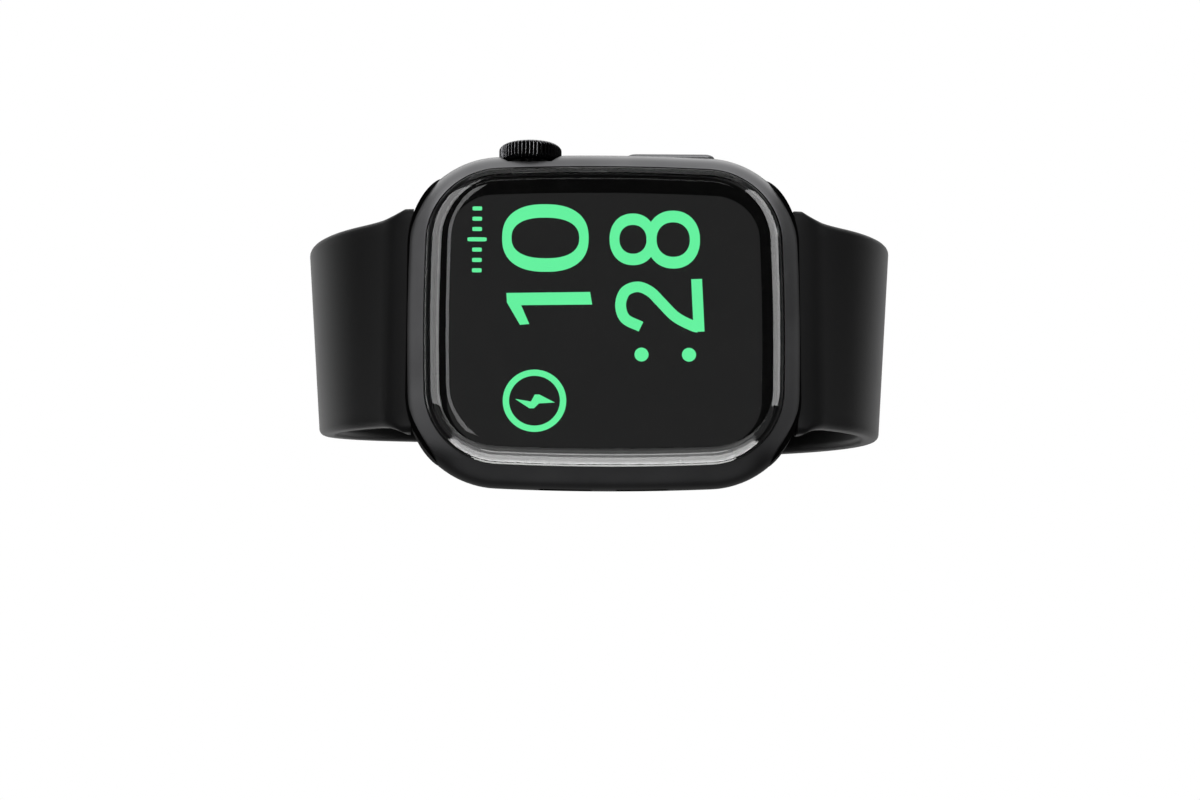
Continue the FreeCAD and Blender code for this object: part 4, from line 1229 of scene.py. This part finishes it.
@dataclass
class Band:
    """Closed pin-and-tuck band: the 12 o'clock half goes over the stud and tucks in through the slot."""

    loop: Loop = field(default_factory=Loop)
    layer: float = 2.5
    flare: float = 2.0
    flare_length: float = 1.6
    width: float = 23.4
    slot_width: float = 22.6
    tail_width: float = 18.8
    narrow_short: float = 2.0
    stud_ahead: float = 4.0
    slot_behind: float = 12.5
    slot_size: Point2 = (9.4, 19.5)
    stud_end: float = 11.0
    tail_behind: float = 42.0
    hole_radius: float = 2.2
    hole_pitch: float = 6.8
    holes_each_way: int = 3
    stud_hole: float = 1.95
    slot_corner: float = 2.2
    slotted_tip: float = 3.4
    tail_tip: float = 8.0
    ramp: float = 11.0
    climb_ahead: float = 12.5
    dive_ahead: float = 5.5
    look_ahead: float = 0.2
    slot_spacing: float = 0.6
    corner_steps: int = 8

    def build(self) -> list[bpy.types.Object]:
        """Make both halves."""
        return [self.slotted_half(), self.tucking_half()]

    def slotted_half(self) -> bpy.types.Object:
        """The 6 o'clock half, with the stud's hole and the slot.

        Returns:
            The strap.
        """
        half = self.loop.half

        def width(s: float) -> float:
            """Width at a distance from the case."""
            return self.width + (self.slot_width - self.width) * ease(s / half) + self._flare(s)

        def lie(s: float, w: float, height: float) -> Vector:
            """Point over the centre line."""
            middle, out, across = self.loop.at(s)
            return middle + out * height + across * w
        slot = self._round_box((half - self.slot_behind, 0.0), self.slot_size, self.slot_corner)
        hole = self._circle((half + self.stud_ahead, 0.0), self.stud_hole)
        strap = MouldedStrap("strap_slotted_half", "strap_6", "band_6", half + self.stud_end, width, lie,
                             [slot, hole], tip=self.slotted_tip)
        return strap.build()

    def tucking_half(self) -> bpy.types.Object:
        """The 12 o'clock half, with its row of holes and its rounded tail.

        Returns:
            The strap.
        """
        whole = 2 * self.loop.half
        length = self.loop.half + self.tail_behind

        def width(t: float) -> float:
            """Width at a distance from the case."""
            narrow = ease(t / (self.loop.half - self.narrow_short))
            return self.width + (self.tail_width - self.width) * narrow + self._flare(t)

        def lie(t: float, w: float, height: float) -> Vector:
            """Point over the line that climbs on to the other half and dives through its slot.

            Args:
                t: Distance from the case.
                w: Distance across, from the strap's middle.
                height: Height over its centre line.

            Returns:
                The point.
            """
            s = whole - t
            middle, out, across = self.loop.at(s)
            ahead, ahead_out, _ = self.loop.at(s - self.look_ahead)
            here = middle + out * self._lift(s)
            along = ahead + ahead_out * self._lift(s - self.look_ahead) - here
            normal = along.cross(across).normalized()
            if normal.dot(out) < 0:
                normal = -normal
            return here + normal * height + across * w
        holes = []
        for step in range(-self.holes_each_way, self.holes_each_way + 1):
            t = self.loop.half - self.stud_ahead - step * self.hole_pitch
            holes.append(self._circle((t, 0.0), self.hole_radius))
        strap = MouldedStrap("strap_tucking_half", "strap_12", "band_12", length, width, lie, holes,
                             tip=self.tail_tip)
        return strap.build()

    def _lift(self, s: float) -> float:
        """How far the tucking half lies outside the loop's centre line.

        Args:
            s: Distance from the 6 o'clock root.

        Returns:
            The distance outwards.
        """
        half = self.loop.half
        climb = ease((half + self.stud_end + self.climb_ahead - s) / self.ramp)
        dive = ease((half - self.slot_behind + self.dive_ahead - s) / self.ramp)
        return self.layer * climb - 2 * self.layer * dive

    def _flare(self, from_case: float) -> float:
        """Extra width where the strap meets the case."""
        return self.flare * math.exp(-max(from_case, 0.0) / self.flare_length)

    def _circle(self, centre: Point2, radius: float, count: int = 40) -> list[Point2]:
        """Round hole."""
        turns = [2 * math.pi * i / count for i in range(count)]
        return [(centre[0] + radius * math.cos(a), centre[1] + radius * math.sin(a)) for a in turns]

    def _round_box(self, centre: Point2, size: Point2, corner: float) -> list[Point2]:
        """Slot with round corners.

        Args:
            centre: Its middle.
            size: Its length along the strap and its width across.
            corner: Radius of its corners.

        Returns:
            Its points.
        """
        points = []
        for quarter, (sx, sy) in enumerate(((1, 1), (-1, 1), (-1, -1), (1, -1))):
            for step in range(self.corner_steps + 1):
                a = math.pi / 2 * (quarter + step / self.corner_steps)
                points.append((centre[0] + sx * (size[0] / 2 - corner) + corner * math.cos(a),
                               centre[1] + sy * (size[1] / 2 - corner) + corner * math.sin(a)))
        dense = []
        for a, b in zip(points, points[1:] + points[:1]):
            steps = max(1, round(math.dist(a, b) / self.slot_spacing))
            dense += [(a[0] + (b[0] - a[0]) * k / steps, a[1] + (b[1] - a[1]) * k / steps)
                      for k in range(steps)]
        return dense


# ---------------------------------------------------------------- CAD nodes

def dress_cad() -> int:
    """Give every CAD node that shows its finish.

    Returns:
        The number of nodes.
    """
    count = 0
    for name, finish in CAD_FINISH.items():
        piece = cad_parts[name]
        piece.data.materials.clear()
        piece.data.materials.append(finish.material())
        count += 1
    return count


# ---------------------------------------------------------------- studio

@dataclass
class Studio:
    """Pale floor, soft lights, a white surround and the camera."""

    below: float = 11.5
    distance: float = 300.0
    aim_below: float = 8.66
    aim_left: float = 0.35
    turned: float = 1.3
    lens: float = 81.1
    sensor: float = 36.0
    nearest: float = 10.0
    floor_rings: tuple[float, ...] = (40.0, 120.0, 300.0, 900.0)
    floor_sides: int = 96
    floor_glow: float = 0.78
    front_glow: float = 0.025
    back_glow: float = 0.2
    reach: float = 250.0

    def build(self) -> None:
        """Set it all up."""
        self.camera()
        self.floor()
        self.world()
        self.lights()

    def lights(self) -> None:
        """Hang the lights; each falls on one finish alone, so that each finish keeps its own highlights."""
        glass = self.lit_alone("glass", "crystal_glass_cover")
        metal = self.lit_alone("metal", "case_shell", "side_button_cap")
        crown = self.lit_alone("crown", "crown_knurled_knob", "crown_cap")
        rubber = self.lit_alone("rubber", "strap_slotted_half", "strap_tucking_half")
        for light in (
            Softbox("glass_left", 62, 25, (182, 289), 3.4, glass),
            Softbox("glass_left_inner", 17.4, 14, (36, 260), 2.6, glass),
            Softbox("glass_right", -78, 25, (182, 289), 4.4, glass),
            Softbox("glass_under_wide", 0, -80, (620, 560), 1.0, glass),
            Softbox("glass_under", 0, -92, (620, 420), 2.0, glass),
            Softbox("glass_under_near", 0, -100, (620, 290), 5.0, glass),
            Softbox("metal_top", 0, 90, (500, 620), 2.2, metal),
            Softbox("metal_top_front", 0, 48, (460, 150), 4.0, metal),
            Softbox("metal_left", 72, 5, (440, 400), 1.2, metal),
            Softbox("metal_right", -80, 5, (440, 400), 0.5, metal),
            Softbox("metal_under", 0, -75, (420, 340), 0.4, metal),
            Softbox("crown_top", 0, 110, (500, 200), 4.0, crown),
            Softbox("crown_streak", 62, 20, (34, 300), 60.0, crown),
            Softbox("crown_front", -10, 15, (420, 300), 0.15, crown),
            Softbox("rubber_left", 150, 10, (220, 300), 1.15, rubber),
            Softbox("rubber_right", -152, 10, (200, 300), 0.9, rubber),
            Softbox("rubber_top", 0, 105, (400, 400), 0.6, rubber),
            Softbox("rubber_front", 0, 12, (420, 300), 0.95, rubber),
        ):
            light.build(self.reach)

    def lit_alone(self, name: str, *pieces: str) -> bpy.types.Collection:
        """Collection of the pieces that a light falls on.

        Args:
            name: The collection's name.
            pieces: Names of the pieces.

        Returns:
            The collection.
        """
        made = bpy.data.collections.new(name)
        for piece in pieces:
            made.objects.link(bpy.data.objects[piece])
        return made

    def camera(self) -> None:
        """Camera a little below the loop's plane, and just off square to the display."""
        tilt, turn = math.radians(self.below), math.radians(self.turned)
        level = math.cos(tilt)
        view = Vector((level * math.sin(turn), level * math.cos(turn), math.sin(tilt)))
        up = Vector((0, -math.sin(tilt), math.cos(tilt)))
        centre = Vector((-self.aim_left, AXIS_Y, MID_Z)) - up * self.aim_below
        data = bpy.data.cameras.new("camera")
        data.lens = self.lens
        data.sensor_width = self.sensor
        data.clip_start = self.nearest * MM
        camera = bpy.data.objects.new("camera", data)
        bpy.context.scene.collection.objects.link(camera)
        camera.location = (centre - view * self.distance) * MM
        camera.rotation_euler = view.to_track_quat("-Z", "Y").to_euler()
        bpy.context.scene.camera = camera

    def floor(self) -> None:
        """Pale floor that is seen from above only."""
        draft = MeshDraft()
        turns = [2 * math.pi * i / self.floor_sides for i in range(self.floor_sides)]
        rows = []
        for radius in self.floor_rings:
            rows.append(draft.ring(Vector((radius * math.cos(a), radius * math.sin(a), 0)) for a in turns))
        for first, second in zip(rows, rows[1:]):
            draft.bridge(first, second)
        draft.fan(rows[0], Vector((0, 0, 0)))
        mesh = bpy.data.meshes.new("floor")
        mesh.from_pydata([tuple(p * MM) for p in draft.points], [], draft.faces)
        floor = bpy.data.objects.new("floor", mesh)
        bpy.context.scene.collection.objects.link(floor)
        face_out(floor)
        if mesh.polygons[0].normal.z < 0:
            mesh.flip_normals()
        floor.visible_glossy = False
        floor.visible_diffuse = False
        floor.visible_shadow = False
        mesh.materials.append(self.floor_material())

    def floor_material(self) -> bpy.types.Material:
        """Matt white board on its upper side, and nothing on its lower side.

        Returns:
            The material.
        """
        made = bpy.data.materials.new("white_board_matt")
        made.use_nodes = True
        tree = made.node_tree
        tree.nodes.clear()
        place = add_node(tree, "ShaderNodeTexCoord").outputs["Object"]
        cloud = add_node(tree, "ShaderNodeTexNoise", {"Scale": 9.0, "Detail": 2.0}, {"Vector": place})
        tint = add_node(tree, "ShaderNodeMix", {"data_type": "RGBA", 6: linear("ECECEA"),
                                                7: linear("F2F2F0")}, {0: cloud.outputs[0]})
        board = add_node(tree, "ShaderNodeBsdfPrincipled",
                         {"Roughness": 0.7, "Emission Color": linear("F4F4F2"),
                          "Emission Strength": self.floor_glow},
                         {"Base Color": tint.outputs[2]})
        clear = add_node(tree, "ShaderNodeBsdfTransparent")
        side = add_node(tree, "ShaderNodeNewGeometry").outputs["Backfacing"]
        both = add_node(tree, "ShaderNodeMixShader", {},
                        {0: side, 1: board.outputs[0], 2: clear.outputs[0]})
        add_node(tree, "ShaderNodeOutputMaterial", {}, {"Surface": both.outputs[0]})
        return made

    def world(self) -> None:
        """White to the camera; to everything else a studio, dark in front and pale behind."""
        world = bpy.data.worlds.new("studio")
        bpy.context.scene.world = world
        world.use_nodes = True
        tree = world.node_tree
        tree.nodes.clear()
        seen = add_node(tree, "ShaderNodeBackground", {"Color": linear("FFFFFF"), "Strength": 1.0})
        way = add_node(tree, "ShaderNodeTexCoord").outputs["Generated"]
        back = add_node(tree, "ShaderNodeSeparateXYZ", {}, {0: way}).outputs[1]
        level = add_node(tree, "ShaderNodeMapRange",
                         {1: 0.25, 2: 1.0, 3: self.front_glow, 4: self.back_glow}, {0: back})
        felt = add_node(tree, "ShaderNodeBackground", {"Color": linear("FFFFFF")},
                        {"Strength": level.outputs[0]})
        direct = add_node(tree, "ShaderNodeLightPath").outputs["Is Camera Ray"]
        both = add_node(tree, "ShaderNodeMixShader", {}, {0: direct, 1: felt.outputs[0], 2: seen.outputs[0]})
        add_node(tree, "ShaderNodeOutputWorld", {}, {"Surface": both.outputs[0]})
        bpy.context.scene.view_settings.view_transform = "Standard"


@dataclass(frozen=True)
class Softbox:
    """Soft rectangular light that isn't seen itself, turned to the middle of the display.

    Azimuth is from straight in front towards 12 o'clock, and elevation from level, both in degrees. The
    size is in millimetres and the glow is the light's own brightness, where the white surround is 1.
    """

    name: str
    azimuth: float
    elevation: float
    size: Point2
    glow: float
    only: bpy.types.Collection | None = None

    def build(self, reach: float) -> None:
        """Hang the light.

        Args:
            reach: Its distance from the middle of the display, in millimetres.
        """
        a, e = math.radians(self.azimuth), math.radians(self.elevation)
        away = Vector((-math.sin(a) * math.cos(e), -math.cos(a) * math.cos(e), math.sin(e)))
        data = bpy.data.lights.new(self.name, "AREA")
        data.shape = "RECTANGLE"
        data.size, data.size_y = self.size[0] * MM, self.size[1] * MM
        data.energy = self.glow * math.pi * data.size * data.size_y
        lamp = bpy.data.objects.new(self.name, data)
        bpy.context.scene.collection.objects.link(lamp)
        lamp.location = (Vector((0, FRONT_Y, MID_Z)) + away * reach) * MM
        lamp.rotation_euler = away.to_track_quat("Z", "Y").to_euler()
        lamp.visible_camera = False
        if self.only:
            lamp.light_linking.receiver_collection = self.only


def main() -> None:
    """Build the studio and the watch, piece by piece."""
    logging.basicConfig(level=logging.INFO, format="%(message)s")
    LOG.info("dressed %d CAD nodes", dress_cad())
    for part in (Front(), Dial(), Crown(), Band()):
        for piece in part.build():
            LOG.info("%s: %s, %d faces", type(part).__name__, piece.name, len(piece.data.polygons))
    Studio().build()


if __name__ == "__main__":
    main()
